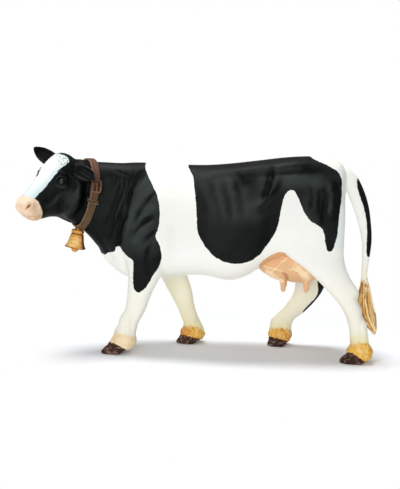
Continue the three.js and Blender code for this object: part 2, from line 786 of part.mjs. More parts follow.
// Tail rows: place on the body, lean of the section in degrees, then its depth and width as shares
// of the dock, or of the tuft in the second table.
const tailRowsShares = [
  [0.355, 0, 0.905, 62, 1.0, 1.1],
  [0.405, 0, 0.905, 50, 0.98, 1.05],
  [0.442, -0.003, 0.872, 38, 0.97, 1],
  [0.468, -0.008, 0.812, 24, 0.98, 0.95],
  [0.489, -0.017, 0.74, 14, 0.92, 0.88],
  [0.504, -0.03, 0.66, 7, 0.76, 0.78],
  [0.513, -0.05, 0.58, 2, 0.6, 0.66],
  [0.511, -0.075, 0.5, -4, 0.46, 0.56],
  [0.506, -0.1, 0.42, -3, 0.36, 0.46],
];
const tuftRowsShares = [
  [0.507, -0.117, 0.37, 4, 0.45, 0.5],
  [0.512, -0.133, 0.32, 8, 0.74, 0.78],
  [0.518, -0.147, 0.265, 10, 0.94, 1],
  [0.528, -0.158, 0.21, 14, 0.88, 0.92],
  [0.54, -0.164, 0.165, 18, 0.62, 0.64],
  [0.547, -0.167, 0.135, 18, 0.38, 0.4],
  [0.55, -0.167, 0.117, 18, 0.12, 0.14],
];

/** The tail from its root in the rump to the end of its tuft. */
function tail(grow) {
  const scaled = (rows, depth, width) =>
    rows.map(([along, side, height, lean, deep, wide]) => [
      along, side, height, lean, deep * depth, wide * width,
    ]);
  const dock = scaled(tailRowsShares, tailDepth, tailWidth);
  const rows = [...dock, ...scaled(tuftRowsShares, tuftDepth, tuftWidth)];
  const sections = smoothRows(rows).map(([along, side, height, lean, deep, wide]) => ({
    centre: bodyPlace(along, side, height),
    across: vec(Math.cos(rad(lean)), 0, Math.sin(rad(lean))),
    up: vec(0, 1, 0),
    half: deep / 2,
    rise: wide / 2,
    drop: wide / 2,
  }));
  return loft(sections, trimSides, grow);
}

/** A slab square to the collar's plane, as thick as given, to take a slice of the neck. */
function collarSlab(width) {
  const { centre, forward, left, up } = collarPlane();
  return solid(placedIn(new THREE.BoxGeometry(cutOverrun, cutOverrun, width), centre, left, up, forward));
}

/** A band round the neck between two clearances from it. */
function neckBand(inner, outer, width) {
  const around = loft(neckSections(), bodySides, outer).subtract(loft(neckSections(), bodySides, inner));
  return around.intersect(collarSlab(width));
}

const strapInner = fitGap;
const strapOuter = fitGap + strapThickness;

/** A frame on the strap's near side: its place, along the strap, across it, and out of it. */
function strapFrame(degrees, lift) {
  const { centre, forward, left, up } = collarPlane();
  const [, , , , , half, reach] = neckRowsShares[collarRow];
  const angle = rad(degrees);
  const [a, b] = [half * neckWidth + lift, reach * neckDepth + lift];
  const place = centre.clone()
    .addScaledVector(left, a * Math.cos(angle))
    .addScaledVector(up, b * Math.sin(angle));
  const along = left.clone()
    .multiplyScalar(-a * Math.sin(angle))
    .addScaledVector(up, b * Math.cos(angle))
    .normalize();
  const out = new THREE.Vector3().crossVectors(forward, along).normalize();
  return { place, along, across: forward, out: out.dot(left) < 0 ? out.negate() : out };
}

const buckleAngle = 12;
const keeperAngle = -11;

/** A block that follows the strap's near side at an angle, for cutting bands to length. */
function strapBlock(degrees, length, width) {
  const { place, along, across, out } = strapFrame(degrees, 0);
  const block = new THREE.BoxGeometry(length, width, bandReach);
  return solid(placedIn(block, place, along, across, out));
}

/** The strap with its free end, which lies over it below the buckle. */
function collarStrap() {
  const tongueOuter = strapOuter + tongueThickness;
  const middleAngle = (buckleAngle + keeperAngle) / 2;
  const tongueBand = neckBand(strapInner, tongueOuter, strapWidth);
  const tongue = tongueBand.intersect(strapBlock(middleAngle, tongueLength, cutOverrun));
  return neckBand(strapInner, strapOuter, strapWidth).add(tongue);
}

/** The buckle: a round-cornered frame with its prong, bent to lie on the strap. */
function buckle() {
  const { place, along, across, out } = strapFrame(buckleAngle, 0);
  const outline = roundedRectangle(THREE.Shape, buckleLength, buckleWidth, buckleBar);
  const inside = [buckleLength - buckleBar * 2, buckleWidth - buckleBar * 2];
  outline.holes.push(roundedRectangle(THREE.Path, ...inside, buckleBar / 2));
  const frame = solid(placedIn(plate(outline, bandReach), place, along, across, out));
  const bar = new THREE.BoxGeometry(buckleLength - buckleBar, buckleBar, bandReach);
  const prong = solid(placedIn(bar, place, along, across, out));
  const inner = strapOuter + tongueThickness + fitGap;
  return frame.add(prong).intersect(neckBand(inner, inner + buckleThickness, cutOverrun));
}

/** The keeper: a loop over the strap and its free end, with its sides turned down to the neck. */
function keeper() {
  const inner = strapOuter + tongueThickness + fitGap;
  const width = strapWidth + (fitGap + keeperWall) * 2;
  const shell = neckBand(strapInner, inner + keeperWall, width);
  const room = neckBand(0, inner, strapWidth + fitGap * 2);
  return shell.subtract(room).intersect(strapBlock(keeperAngle, keeperLength, cutOverrun));
}

// Bell rows: height from the crown, then half widths as shares of the mouth.
const bellRowsShares = [
  [0, 0.26, 0.26],
  [0.03, 0.285, 0.3],
  [0.17, 0.29, 0.31],
  [0.19, 0.27, 0.29],
  [0.25, 0.27, 0.29],
  [0.27, 0.3, 0.33],
  [0.5, 0.335, 0.38],
  [0.72, 0.38, 0.425],
  [0.88, 0.44, 0.46],
  [1, 0.5, 0.5],
];
const bellLean = 11;
const bellHollowShare = 0.25;

/** The bell's frame: its crown just under the strap, and its width, depth and hanging directions. */
function bellFrame() {
  const { centre, up } = collarPlane();
  const [, , , , , , , drop] = neckRowsShares[collarRow];
  const lean = rad(bellLean);
  const hang = vec(-Math.sin(lean), 0, -Math.cos(lean));
  const wide = vec(Math.cos(lean), 0, -Math.sin(lean));
  const crown = centre.addScaledVector(up, -(drop * neckDepth + strapOuter + fitGap));
  return { crown, wide, deep: vec(0, 1, 0), hang };
}

/** The bell's cup from a share of its height downward, made smaller by an inset. */
function bellCup(inset, from) {
  const { crown, wide, deep, hang } = bellFrame();
  const sections = smoothRows(bellRowsShares, 1)
    .filter(([height]) => height >= from)
    .map(([height, half, thick]) => ({
      centre: crown.clone().addScaledVector(hang, height * bellHeight),
      across: wide,
      up: deep,
      half: half * bellMouthWidth - inset,
      rise: thick * bellMouthDepth - inset,
      drop: thick * bellMouthDepth - inset,
      high: bellPower,
    }));
  return loft(sections, limbSides);
}

/** The middle of the bell's shallow roof inside its mouth. */
function bellRoof() {
  const { crown, hang } = bellFrame();
  return crown.addScaledVector(hang, bellHeight - bellRecess);
}

/** The bell: a flared cup with a banded crown, a shallow mouth, and a lug that meets the strap. */
function bell() {
  const { crown, wide, deep, hang } = bellFrame();
  const below = bellRoof().addScaledVector(hang, cutOverrun / 2);
  const cube = new THREE.BoxGeometry(cutOverrun, cutOverrun, cutOverrun);
  const block = solid(placedIn(cube, below, wide, deep, hang));
  const recess = bellCup(bellWall, bellHollowShare).intersect(block);
  const socketStart = bellRoof().addScaledVector(hang, -clapperStem - fitGap);
  const socket = rod(socketStart, hang, bellRecess + clapperStem, clapperStem + fitGap * 2);
  const lug = rod(crown.addScaledVector(hang, -bellLug / 2), hang, bellLug, bellLug);
  const collar = loft(neckSections(), bodySides, strapOuter + fitGap);
  return bellCup(0, 0).subtract(recess).subtract(socket).add(lug).subtract(collar);
}

/** The clapper: a ball on a stem that is pressed into the bell. */
function clapper() {
  const { wide, deep, hang } = bellFrame();
  const ballCentre = bellRoof().addScaledVector(hang, clapperDiameter / 2 + fitGap);
  const ball = pebble(ballCentre, wide, deep, hang, [clapperDiameter, clapperDiameter, clapperDiameter]);
  const stem = rod(bellRoof().addScaledVector(hang, -clapperStem), hang, clapperDiameter, clapperStem);
  return ball.add(stem);
}

/** Everything in front of the collar's plane, less or plus a margin. */
function headRegion(margin) {
  const { centre, forward, left, up } = collarPlane();
  const slab = new THREE.BoxGeometry(cutOverrun * 2, cutOverrun * 2, cutOverrun);
  const place = centre.clone().addScaledVector(forward, cutOverrun / 2 + fitGap / 2 - margin);
  return solid(placedIn(slab, place, left, up, forward));
}

/** The head's peg in the neck, or with a margin its socket. */
function neckPeg(margin) {
  const { centre, forward } = collarPlane();
  const start = centre.clone().addScaledVector(forward, pegLength);
  return rod(start, forward.clone().negate(), pegLength * 2 + margin, neckPegDiameter + margin * 2);
}

/** The painted mouldings, cut from one whole form so that their skins run on across the seams. */
function mouldings() {
  const neck = loft(neckSections(), bodySides, 0, true);
  const forms = legs.map((leg) => legColumn(leg, 0));
  const bag = udderForm(fitGap);
  let torso = forms.reduce((body, form) => body.add(form), trunk().add(neck)).subtract(bag);
  const pieces = {};
  for (const leg of legs) {
    const split = cleft(leg.rowsShares, leg.shank);
    pieces[leg.name] = legRegion(leg, 0).add(legPeg(leg, 0)).subtract(split).subtract(bag);
  }
  for (const leg of legs) {
    torso = torso.subtract(legRegion(leg, fitGap)).subtract(legPeg(leg, fitGap));
  }
  torso = torso.subtract(headRegion(fitGap)).subtract(neckPeg(fitGap)).subtract(tail(fitGap));
  const strapRoom = neckBand(0, strapOuter + tongueThickness, strapWidth + fitGap * 2);
  let head = headWhole(neck).subtract(strapRoom).intersect(headRegion(0)).add(neckPeg(0));
  for (const ear of ears) {
    head = head.subtract(earForm(ear, fitGap));
    pieces[ear.name] = earCupped(ear);
  }
  return { torso, head, ...pieces, udder: udder(), tail: tail(0) };
}

const paint = {
  black: { color: 0x26292a, roughness: 0.5, metalness: 0 },
  white: { color: 0xf4f2ea, roughness: 0.5, metalness: 0 },
  pink: { color: 0xe0a982, roughness: 0.5, metalness: 0 },
  leather: { color: 0x6b543c, roughness: 0.6, metalness: 0 },
  copper: { color: 0x8c4f3a, roughness: 0.45, metalness: 0.3 },
  gold: { color: 0xdba24a, roughness: 0.4, metalness: 0.4 },
};

/** A named mesh with its own material. */
function mesh(name, body, finish) {
  const one = new THREE.Mesh(geometryOf(body), new THREE.MeshStandardMaterial(finish));
  one.name = name;
  return one;
}

const finishes = {
  torso: paint.white,
  head: paint.black,
  ear_left: paint.black,
  ear_right: paint.black,
  leg_front_left: paint.white,
  leg_front_right: paint.white,
  leg_rear_left: paint.white,
  leg_rear_right: paint.white,
  udder: paint.pink,
  tail: paint.white,
  collar_strap: paint.leather,
  collar_buckle: paint.copper,
  collar_keeper: paint.leather,
  bell: paint.gold,
  bell_clapper: paint.gold,
};

const bodies = {
  ...mouldings(),
  collar_strap: collarStrap(),
  collar_buckle: buckle(),
  collar_keeper: keeper(),
  bell: bell(),
  bell_clapper: clapper(),
};

const cow = new THREE.Group();
for (const [name, body] of Object.entries(bodies)) cow.add(mesh(name, body, finishes[name]));

// The origin is on the ground, under the middle of the figure's box.
const box = new THREE.Box3().setFromObject(cow);
cow.position.set(-(box.min.x + box.max.x) / 2, -(box.min.y + box.max.y) / 2, -box.min.z);

export default cow;
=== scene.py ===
"""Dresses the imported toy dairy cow: its moulded skin, paint, collar, bell, udder and tail."""

import logging
import math
from dataclasses import dataclass, field
from enum import Enum
from functools import cached_property

import bmesh
import bpy
import numpy as np
from mathutils import Matrix, Vector


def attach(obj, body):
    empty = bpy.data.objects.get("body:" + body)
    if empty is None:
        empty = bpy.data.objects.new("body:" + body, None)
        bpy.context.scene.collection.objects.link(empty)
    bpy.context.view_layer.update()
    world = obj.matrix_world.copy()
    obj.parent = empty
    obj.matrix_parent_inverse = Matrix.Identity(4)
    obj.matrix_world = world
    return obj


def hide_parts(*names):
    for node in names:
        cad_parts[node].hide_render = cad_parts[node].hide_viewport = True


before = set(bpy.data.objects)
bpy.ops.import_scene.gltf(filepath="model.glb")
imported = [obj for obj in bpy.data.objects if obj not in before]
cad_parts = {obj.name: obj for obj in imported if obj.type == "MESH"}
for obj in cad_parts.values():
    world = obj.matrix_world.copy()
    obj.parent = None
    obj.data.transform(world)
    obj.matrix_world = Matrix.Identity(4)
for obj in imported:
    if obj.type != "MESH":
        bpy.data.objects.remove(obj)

log = logging.getLogger("cow")

MM = 0.001
ROOT = "root"

# How far the design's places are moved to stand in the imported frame, in millimetres
ORIGIN_SHIFT = np.array((14.687, 3.714, 0.0))

# Whole animal, millimetres
BODY_LENGTH = 100.0
POLL_HEIGHT = 80.0
BARREL_WIDTH = 36.0

# The shortest length that is told from none, and how near corners lie that are one, in metres
TINY = 1e-12
WELD_DISTANCE = 1e-7

# A depth far outside every painted outline, in millimetres
NEVER = -9.0

Number = np.ndarray | float
Pair = tuple[float, float]
Triple = tuple[float, float, float]
Outline = tuple[Pair, ...]
Table = tuple[tuple[float, ...], ...]
Numbers = dict[str, np.ndarray]

TAILWARD, FARWARD, UPWARD = np.eye(3)


def to_frame(places: np.ndarray) -> np.ndarray:
    """Returns design places in millimetres as frame places in metres."""
    return (places + ORIGIN_SHIFT) * MM


def to_design(places: np.ndarray) -> np.ndarray:
    """Returns frame places in metres as design places in millimetres."""
    return places / MM - ORIGIN_SHIFT


def unit(vectors: np.ndarray) -> np.ndarray:
    """Returns vectors at length one."""
    return vectors / np.maximum(np.linalg.norm(vectors, axis=-1, keepdims=True), TINY)


def smooth_share(value: np.ndarray, low: float, high: float) -> np.ndarray:
    """Returns 0 below low, 1 above high and a smooth ramp between."""
    share = np.clip((value - low) / (high - low), 0.0, 1.0)
    return share * share * (3.0 - 2.0 * share)


def lowness(places: np.ndarray, high: float, low: float) -> np.ndarray:
    """Returns 0 for design places above a height, 1 below a lower one and a smooth ramp between."""
    return smooth_share(-places[:, 2], -high, -low)


def in_scene(name: str, data: bpy.types.ID) -> bpy.types.Object:
    """Puts an object into the scene.

    Args:
        name: The object's name.
        data: The mesh, lamp or camera that it holds.

    Returns:
        The object.
    """
    thing = bpy.data.objects.new(name, data)
    bpy.context.scene.collection.objects.link(thing)
    return thing


def squared(wave: np.ndarray, power: Number) -> np.ndarray:
    """Returns a sine or cosine bent by a power, which makes an oval squarer."""
    return np.sign(wave) * np.abs(wave) ** power


def blended_rows(table: Table, steps: int) -> np.ndarray:
    """Blends a table's rows smoothly.

    Args:
        table: The rows of numbers.
        steps: How many steps lie between two rows.

    Returns:
        The rows with the blended ones between them.
    """
    rows = np.array(table, float)
    slope = np.gradient(rows, axis=0)
    place = np.linspace(0, len(rows) - 1, (len(rows) - 1) * steps + 1)
    start = np.minimum(place.astype(int), len(rows) - 2)
    t = (place - start)[:, None]
    a, b = rows[start], rows[start + 1]
    da, db = slope[start], slope[start + 1]
    return (
        a * (1 + 2 * t) * (1 - t) ** 2
        + da * t * (1 - t) ** 2
        + b * t * t * (3 - 2 * t)
        + db * t * t * (t - 1)
    )


@dataclass
class Form:
    """A smooth closed form through sections, each an oval or a squarer ring."""

    centre: np.ndarray
    across: np.ndarray
    up: np.ndarray
    half: np.ndarray
    rise: np.ndarray
    drop: np.ndarray
    high: np.ndarray
    low: np.ndarray

    def ring_places(self, row: np.ndarray, angle: np.ndarray) -> np.ndarray:
        """Places points on the form.

        Args:
            row: Each point's section.
            angle: Each point's turn round its section, in radians.

        Returns:
            The points, in design millimetres.
        """
        cos, sin = np.cos(angle), np.sin(angle)
        power = 2.0 / np.where(sin >= 0, self.high[row], self.low[row])
        wide = self.half[row] * squared(cos, power)
        tall = np.where(sin >= 0, self.rise[row], self.drop[row]) * squared(sin, power)
        return self.centre[row] + self.across[row] * wide[:, None] + self.up[row] * tall[:, None]

    def build(self, bm: bmesh.types.BMesh, sides: int) -> None:
        """Adds the form to a mesh: a grid rolled into a tube, welded and closed at both ends.

        Args:
            bm: The mesh that takes it.
            sides: How many sides a section has.
        """
        last = len(self.half) - 1
        verts = bmesh.ops.create_grid(bm, x_segments=sides, y_segments=last, size=1.0)["verts"]
        flat = np.array([vert.co[:2] for vert in verts])
        row = np.rint((flat[:, 1] + 1) / 2 * last).astype(int)
        places = to_frame(self.ring_places(row, (flat[:, 0] + 1) * math.pi))
        for vert, place in zip(verts, places):
            vert.co = place
        bmesh.ops.remove_doubles(bm, verts=verts, dist=WELD_DISTANCE)
        kept = [vert for vert in verts if vert.is_valid]
        rims = {edge for vert in kept for edge in vert.link_edges if edge.is_boundary}
        bmesh.ops.holes_fill(bm, edges=list(rims), sides=0)
        faces = {face for vert in kept for face in vert.link_faces}
        bmesh.ops.recalc_face_normals(bm, faces=list(faces))


def body_place(along: Number, side: Number, height: Number) -> np.ndarray:
    """Returns design places from shares of the body's length, the barrel's width and the poll's height."""
    return np.stack([along * BODY_LENGTH, side * BARREL_WIDTH, height * POLL_HEIGHT], -1)


def directions(x: Number, y: Number, z: Number) -> np.ndarray:
    """Returns directions from their parts, each one number or one for each row."""
    return np.stack(np.broadcast_arrays(x, y, z), -1).astype(float)


TRUNK_ROWS: Table = (
    (-0.575, 0.86, 0.56, 0.7, 0.1, 2, 2),
    (-0.56, 0.91, 0.49, 0.68, 0.2, 2, 2),
    (-0.52, 0.94, 0.425, 0.64, 0.27, 2, 2),
    (-0.46, 0.953, 0.375, 0.6, 0.335, 2, 2.1),
    (-0.4, 0.956, 0.362, 0.58, 0.385, 2, 2.2),
    (-0.32, 0.953, 0.372, 0.57, 0.415, 2, 2.2),
    (-0.22, 0.946, 0.386, 0.575, 0.455, 2.1, 2.2),
    (-0.12, 0.944, 0.388, 0.58, 0.49, 2.1, 2.2),
    (-0.03, 0.951, 0.366, 0.57, 0.5, 2.1, 2.1),
    (0.04, 0.96, 0.388, 0.575, 0.495, 2.2, 2.1),
    (0.11, 0.97, 0.44, 0.6, 0.465, 2.4, 2.1),
    (0.18, 0.98, 0.475, 0.64, 0.43, 2.7, 2.1),
    (0.25, 0.986, 0.49, 0.68, 0.405, 2.6, 2.1),
    (0.32, 0.986, 0.51, 0.7, 0.37, 2.3, 2.1),
    (0.38, 0.975, 0.56, 0.72, 0.31, 2.1, 2),
    (0.415, 0.945, 0.64, 0.76, 0.23, 2, 2),
    (0.428, 0.9, 0.72, 0.81, 0.12, 2, 2),
)

# Neck: place, turn, lift, then half width, rise and drop as shares of the neck at the collar
NECK_WIDTH = 16.8
NECK_DEPTH = 26.6
COLLAR_ROW = 4
NECK_ROWS: Table = (
    (-0.34, 0, 0.712, 0, 0, 0.655, 0.7, 0.68),
    (-0.44, -0.017, 0.735, 8, 5, 0.62, 0.655, 0.76),
    (-0.515, -0.061, 0.76, 19, 9, 0.571, 0.592, 0.77),
    (-0.57, -0.111, 0.782, 31, 11, 0.53, 0.54, 0.61),
    (-0.613, -0.175, 0.799, 42, 11.3, 0.5, 0.5, 0.5),
    (-0.655, -0.267, 0.822, 49, 14, 0.464, 0.47, 0.44),
    (-0.69, -0.361, 0.85, 56, 16, 0.36, 0.32, 0.27),
)

def mirrored_rows(rows: Table, own: Outline | None = None) -> Table:
    """Mirrors a leg's rows to the other side.

    Args:
        rows: The leg's rows.
        own: The places along the body and fore-and-aft sizes of the other leg, where they differ.

    Returns:
        The other leg's rows.
    """
    own = own or tuple((along, deep) for _, along, _, deep, _ in rows)
    return tuple((height, along, -side, deep, wide)
                 for (height, _, side, _, wide), (along, deep) in zip(rows, own, strict=True))


# Legs: height, along and side places, then fore-and-aft and sideways sizes in shanks
FORE_SHANK = (7.8, 6.4)
HIND_SHANK = (7.4, 6.2)
LIMB_POWER = 2.3
CORONET_RISE = 3.4
CORONET_RUN = 9.4
CORONET_SHARE = 0.03
FETLOCK_SHARES = (0.08, 0.16)
FORE_TOP: Table = (
    (0.45, -0.3525, -0.278, 1.99, 1.88),
    (0.5375, -0.36, -0.244, 2.31, 1.95),
    (0.6375, -0.375, -0.222, 2.18, 1.95),
    (0.7375, -0.3875, -0.194, 1.73, 1.8),
    (0.8375, -0.392, -0.153, 1.09, 1.4),
    (0.9, -0.395, -0.111, 0.64, 0.78),
)
HIND_TOP: Table = (
    (0.5875, 0.298, -0.25, 3.46, 2),
    (0.675, 0.299, -0.231, 3.49, 2.1),
    (0.7625, 0.308, -0.217, 3.19, 2.1),
    (0.8375, 0.315, -0.194, 2.57, 1.94),
    (0.9, 0.315, -0.167, 1.76, 1.45),
    (0.9375, 0.315, -0.139, 0.95, 0.81),
)
FORE_LEFT: Table = (
    (0, -0.481, -0.306, 1.31, 1.34),
    (0.01, -0.4775, -0.306, 1.32, 1.38),
    (0.03, -0.461, -0.306, 1.22, 1.25),
    (0.035, -0.457, -0.306, 1.41, 1.42),
    (0.075, -0.446, -0.306, 1.28, 1.36),
    (0.1, -0.439, -0.306, 1.13, 1.14),
    (0.125, -0.4315, -0.306, 1.05, 1.03),
    (0.1625, -0.418, -0.306, 1, 1),
    (0.2125, -0.3965, -0.306, 1.04, 1.09),
    (0.25, -0.3875, -0.306, 1.12, 1.19),
    (0.2875, -0.38, -0.303, 1.21, 1.22),
    (0.3375, -0.369, -0.3, 1.41, 1.41),
    (0.3875, -0.3575, -0.292, 1.65, 1.64),
    *FORE_TOP,
)
FORE_RIGHT: Table = mirrored_rows(FORE_LEFT[:15], (
    (-0.212, 1.33), (-0.2105, 1.34), (-0.202, 1.23), (-0.2, 1.38), (-0.194, 1.23), (-0.196, 1.13),
    (-0.2045, 1.01), (-0.2165, 0.96), (-0.2325, 1.04), (-0.2425, 1.19), (-0.2535, 1.33), (-0.2705, 1.42),
    (-0.286, 1.54), (-0.3125, 1.86), (-0.3475, 2.24),
)) + mirrored_rows(FORE_TOP[2:])
HIND_LEFT: Table = (
    (0, 0.47, -0.333, 1.41, 1.39),
    (0.01, 0.4735, -0.333, 1.42, 1.42),
    (0.03, 0.488, -0.333, 1.24, 1.29),
    (0.035, 0.4905, -0.333, 1.39, 1.45),
    (0.08, 0.492, -0.333, 1.19, 1.32),
    (0.10625, 0.489, -0.333, 1, 1.13),
    (0.15, 0.485, -0.333, 0.95, 1),
    (0.2, 0.478, -0.333, 1, 1),
    (0.25, 0.4655, -0.331, 1.09, 1.06),
    (0.3, 0.446, -0.328, 1.35, 1.13),
    (0.35, 0.421, -0.325, 1.65, 1.23),
    (0.4, 0.387, -0.317, 1.81, 1.35),
    (0.45, 0.355, -0.303, 2.18, 1.53),
    (0.5125, 0.315, -0.275, 2.97, 1.77),
    *HIND_TOP,
)
HIND_RIGHT: Table = (
    (0, 0.1685, 0.333, 1.28, 1.39),
    (0.01, 0.1695, 0.333, 1.28, 1.42),
    (0.03, 0.1695, 0.333, 1.18, 1.29),
    (0.035, 0.1725, 0.333, 1.34, 1.45),
    (0.08, 0.1765, 0.333, 1.28, 1.32),
    (0.10625, 0.1755, 0.333, 1.2, 1.13),
    (0.1375, 0.183, 0.333, 1.22, 1),
    (0.175, 0.2175, 0.333, 1.36, 1),
    (0.225, 0.254, 0.331, 1.43, 1.06),
    (0.275, 0.281, 0.328, 1.54, 1.13),
    (0.3125, 0.2925, 0.325, 1.64, 1.23),
    (0.3625, 0.3, 0.317, 1.89, 1.4),
    (0.425, 0.3, 0.3, 2.57, 1.6),
    (0.5125, 0.2965, 0.272, 3.2, 1.8),
    *mirrored_rows(HIND_TOP),
)

# Head: where the poll stands, how the face is turned, sloped and rolled, and its sizes
POLL_PLACE = (-0.685, -0.361, 1.002)
HEAD_TURN = 40.0
FACE_SLOPE = 47.0
HEAD_ROLL = 20.0
HEAD_LENGTH = 28.1
HEAD_WIDTH = 15.2
HEAD_DEPTH = 18.5
HEAD_ROWS: Table = (
    (-0.085, -0.21, -0.44, -0.33, 0.12, 2, 2),
    (-0.055, -0.1, -0.58, -0.3, 0.26, 2.2, 2),
    (0.02, 0.01, -0.8, -0.28, 0.37, 2.3, 2),
    (0.15, 0.02, -0.99, -0.28, 0.44, 2.5, 2.1),
    (0.3, 0.01, -1.12, -0.28, 0.48, 2.5, 2.1),
    (0.42, 0, -1.16, -0.34, 0.46, 2.3, 2.1),
    (0.55, -0.01, -1.11, -0.38, 0.41, 2.2, 2),
    (0.66, -0.02, -0.98, -0.36, 0.36, 2.2, 2),
    (0.77, -0.02, -0.8, -0.32, 0.335, 2.2, 2),
    (0.88, -0.02, -0.66, -0.3, 0.35, 2.3, 2.1),
    (0.96, -0.05, -0.56, -0.29, 0.33, 2.3, 2.2),
    (1, -0.13, -0.46, -0.29, 0.23, 2, 2),
)

# Throat: shares down the face and out from it, then its radius in millimetres
THROAT_ROWS: Table = (
    (0.87, -0.5, 0.6), (0.86, -0.55, 1.4), (0.8, -0.69, 1.9), (0.7, -0.8, 2.2), (0.62, -0.87, 2.4),
    (0.56, -1.08, 2.5), (0.5, -1.4, 2.4), (0.47, -1.55, 1.3), (0.46, -1.58, 0.5),
)

# Ears: the root on the head's left, each ear's direction, and the leaf's rows
EAR_PLACE = (0.075, 0.36, -0.3)
EAR_LENGTH = 10.5
EAR_WIDTH = 6.4
EAR_THICKNESS = 2.2
EAR_ROOT = 1.6
EAR_ROWS: Table = (
    (0, 0.34, 0.5),
    (0.12, 0.36, 0.5),
    (0.28, 0.46, 0.5),
    (0.5, 0.5, 0.46),
    (0.72, 0.43, 0.38),
    (0.88, 0.27, 0.3),
    (0.97, 0.13, 0.22),
    (1, 0.05, 0.1),
)

# Udder: share of its length, half width, rise, drop and how far its middle is lifted
UDDER_PLACE = (0.085, 0, 0.462)
UDDER_LENGTH = 27.0
UDDER_WIDTH = 19.0
UDDER_DEPTH = 14.0
UDDER_POWER = 2.2
UDDER_ROWS: Table = (
    (0, 0.12, 0.1, 0.12, 0),
    (0.06, 0.3, 0.24, 0.26, 0),
    (0.2, 0.44, 0.4, 0.4, -0.01),
    (0.42, 0.5, 0.5, 0.52, -0.02),
    (0.64, 0.5, 0.52, 0.55, -0.03),
    (0.82, 0.44, 0.48, 0.5, -0.02),
    (0.94, 0.3, 0.34, 0.34, 0),
    (1, 0.12, 0.14, 0.14, 0),
)

# Tail: place, lean of the section in degrees, and its depth and width in docks or tufts
TAIL_SIZE = (6.4, 4.6)
TUFT_SIZE = (6.2, 5.2)
TAIL_ROWS: Table = (
    (0.355, 0, 0.905, 62, 1.0, 1.1),
    (0.405, 0, 0.905, 50, 0.98, 1.05),
    (0.442, -0.003, 0.872, 38, 0.97, 1),
    (0.468, -0.008, 0.812, 24, 0.98, 0.95),
    (0.489, -0.017, 0.74, 14, 0.92, 0.88),
    (0.504, -0.03, 0.66, 7, 0.76, 0.78),
    (0.513, -0.05, 0.58, 2, 0.6, 0.66),
    (0.511, -0.075, 0.5, -4, 0.46, 0.56),
    (0.506, -0.1, 0.42, -3, 0.36, 0.46),
)
TUFT_ROWS: Table = (
    (0.507, -0.117, 0.37, 4, 0.45, 0.5),
    (0.512, -0.133, 0.32, 8, 0.74, 0.78),
    (0.518, -0.147, 0.265, 10, 0.94, 1),
    (0.528, -0.158, 0.21, 14, 0.88, 0.92),
    (0.54, -0.164, 0.165, 18, 0.62, 0.64),
    (0.547, -0.167, 0.135, 18, 0.38, 0.4),
    (0.55, -0.167, 0.117, 18, 0.12, 0.14),
)


def form_of(centre: np.ndarray, across: np.ndarray, up: np.ndarray, half: np.ndarray, rise: np.ndarray,
            drop: np.ndarray | None = None, high: Number = 2.0, low: Number | None = None) -> Form:
    """Gathers the columns of a form, whose lower half is like its upper one if nothing else is said.

    Args:
        centre: The sections' middles.
        across: Each section's direction to its side, or one for all.
        up: Each section's direction upward, or one for all.
        half: The half widths.
        rise: How far the sections reach up.
        drop: How far they reach down.
        high: How square the upper halves are, where 2 is an oval.
        low: How square the lower halves are.

    Returns:
        The form.
    """
    count = len(half)
    drop = rise if drop is None else drop
    low = high if low is None else low
    return Form(centre, np.broadcast_to(across, (count, 3)), np.broadcast_to(up, (count, 3)), half,
                rise, drop, np.broadcast_to(high, count), np.broadcast_to(low, count))


def part_of(form: Form, first: int, last: int, scale: float = 1.0) -> Form:
    """Cuts a run of rows out of a form.

    Args:
        form: The whole form.
        first: The first row that is kept.
        last: The row after the last one.
        scale: By how much the sections are scaled.

    Returns:
        The run, as a form.
    """
    rows = slice(first, last)
    half, rise, drop = (size[rows] * scale for size in (form.half, form.rise, form.drop))
    return Form(form.centre[rows], form.across[rows], form.up[rows], half, rise, drop, form.high[rows],
                form.low[rows])


def neck_directions(turn: Number, lift: Number) -> tuple[np.ndarray, np.ndarray, np.ndarray]:
    """Finds the neck's directions.

    Args:
        turn: How far the neck is turned to the near side, in degrees.
        lift: How far it is lifted, in degrees.

    Returns:
        The directions forward, to the left and up.
    """
    yaw, climb = np.radians(turn), np.radians(lift)
    forward = directions(-np.cos(yaw) * np.cos(climb), -np.sin(yaw) * np.cos(climb), np.sin(climb))
    left = directions(np.sin(yaw), -np.cos(yaw), 0)
    return forward, left, -np.cross(left, forward)


def collar_plane() -> tuple[np.ndarray, np.ndarray, np.ndarray, np.ndarray]:
    """Returns the neck's middle under the collar, and its forward, left and up directions there."""
    along, side, height, turn, lift, *_ = NECK_ROWS[COLLAR_ROW]
    return body_place(along, side, height), *neck_directions(turn, lift)


def coronet_slope(height: np.ndarray) -> np.ndarray:
    """Returns how much a leg's sections slope at shares of the body's height, most over the hoof."""
    rim = np.minimum(height / CORONET_SHARE, 1.0)
    return rim * (1 - smooth_share(height, *FETLOCK_SHARES)) * CORONET_RISE / CORONET_RUN


@dataclass(frozen=True)
class HeadFrame:
    """The head's poll, and its directions down the face, to its left and out of the forehead."""

    poll: np.ndarray
    down: np.ndarray
    left: np.ndarray
    front: np.ndarray

    def place(self, along: Number, side: Number, out: Number) -> np.ndarray:
        """Finds places on the head.

        Args:
            along: The shares of the head's length down from the poll.
            side: The shares of its width to the left.
            out: The shares of its depth out of the forehead.

        Returns:
            The design places.
        """
        return (self.poll + np.multiply.outer(along * HEAD_LENGTH, self.down)
                + np.multiply.outer(side * HEAD_WIDTH, self.left)
                + np.multiply.outer(out * HEAD_DEPTH, self.front))

    def shares(self, places: np.ndarray) -> tuple[np.ndarray, np.ndarray, np.ndarray]:
        """Measures where design places stand on the head.

        Args:
            places: The design places.

        Returns:
            Their shares along, aside and out.
        """
        apart = places - self.poll
        return (apart @ self.down / HEAD_LENGTH, apart @ self.left / HEAD_WIDTH,
                apart @ self.front / HEAD_DEPTH)


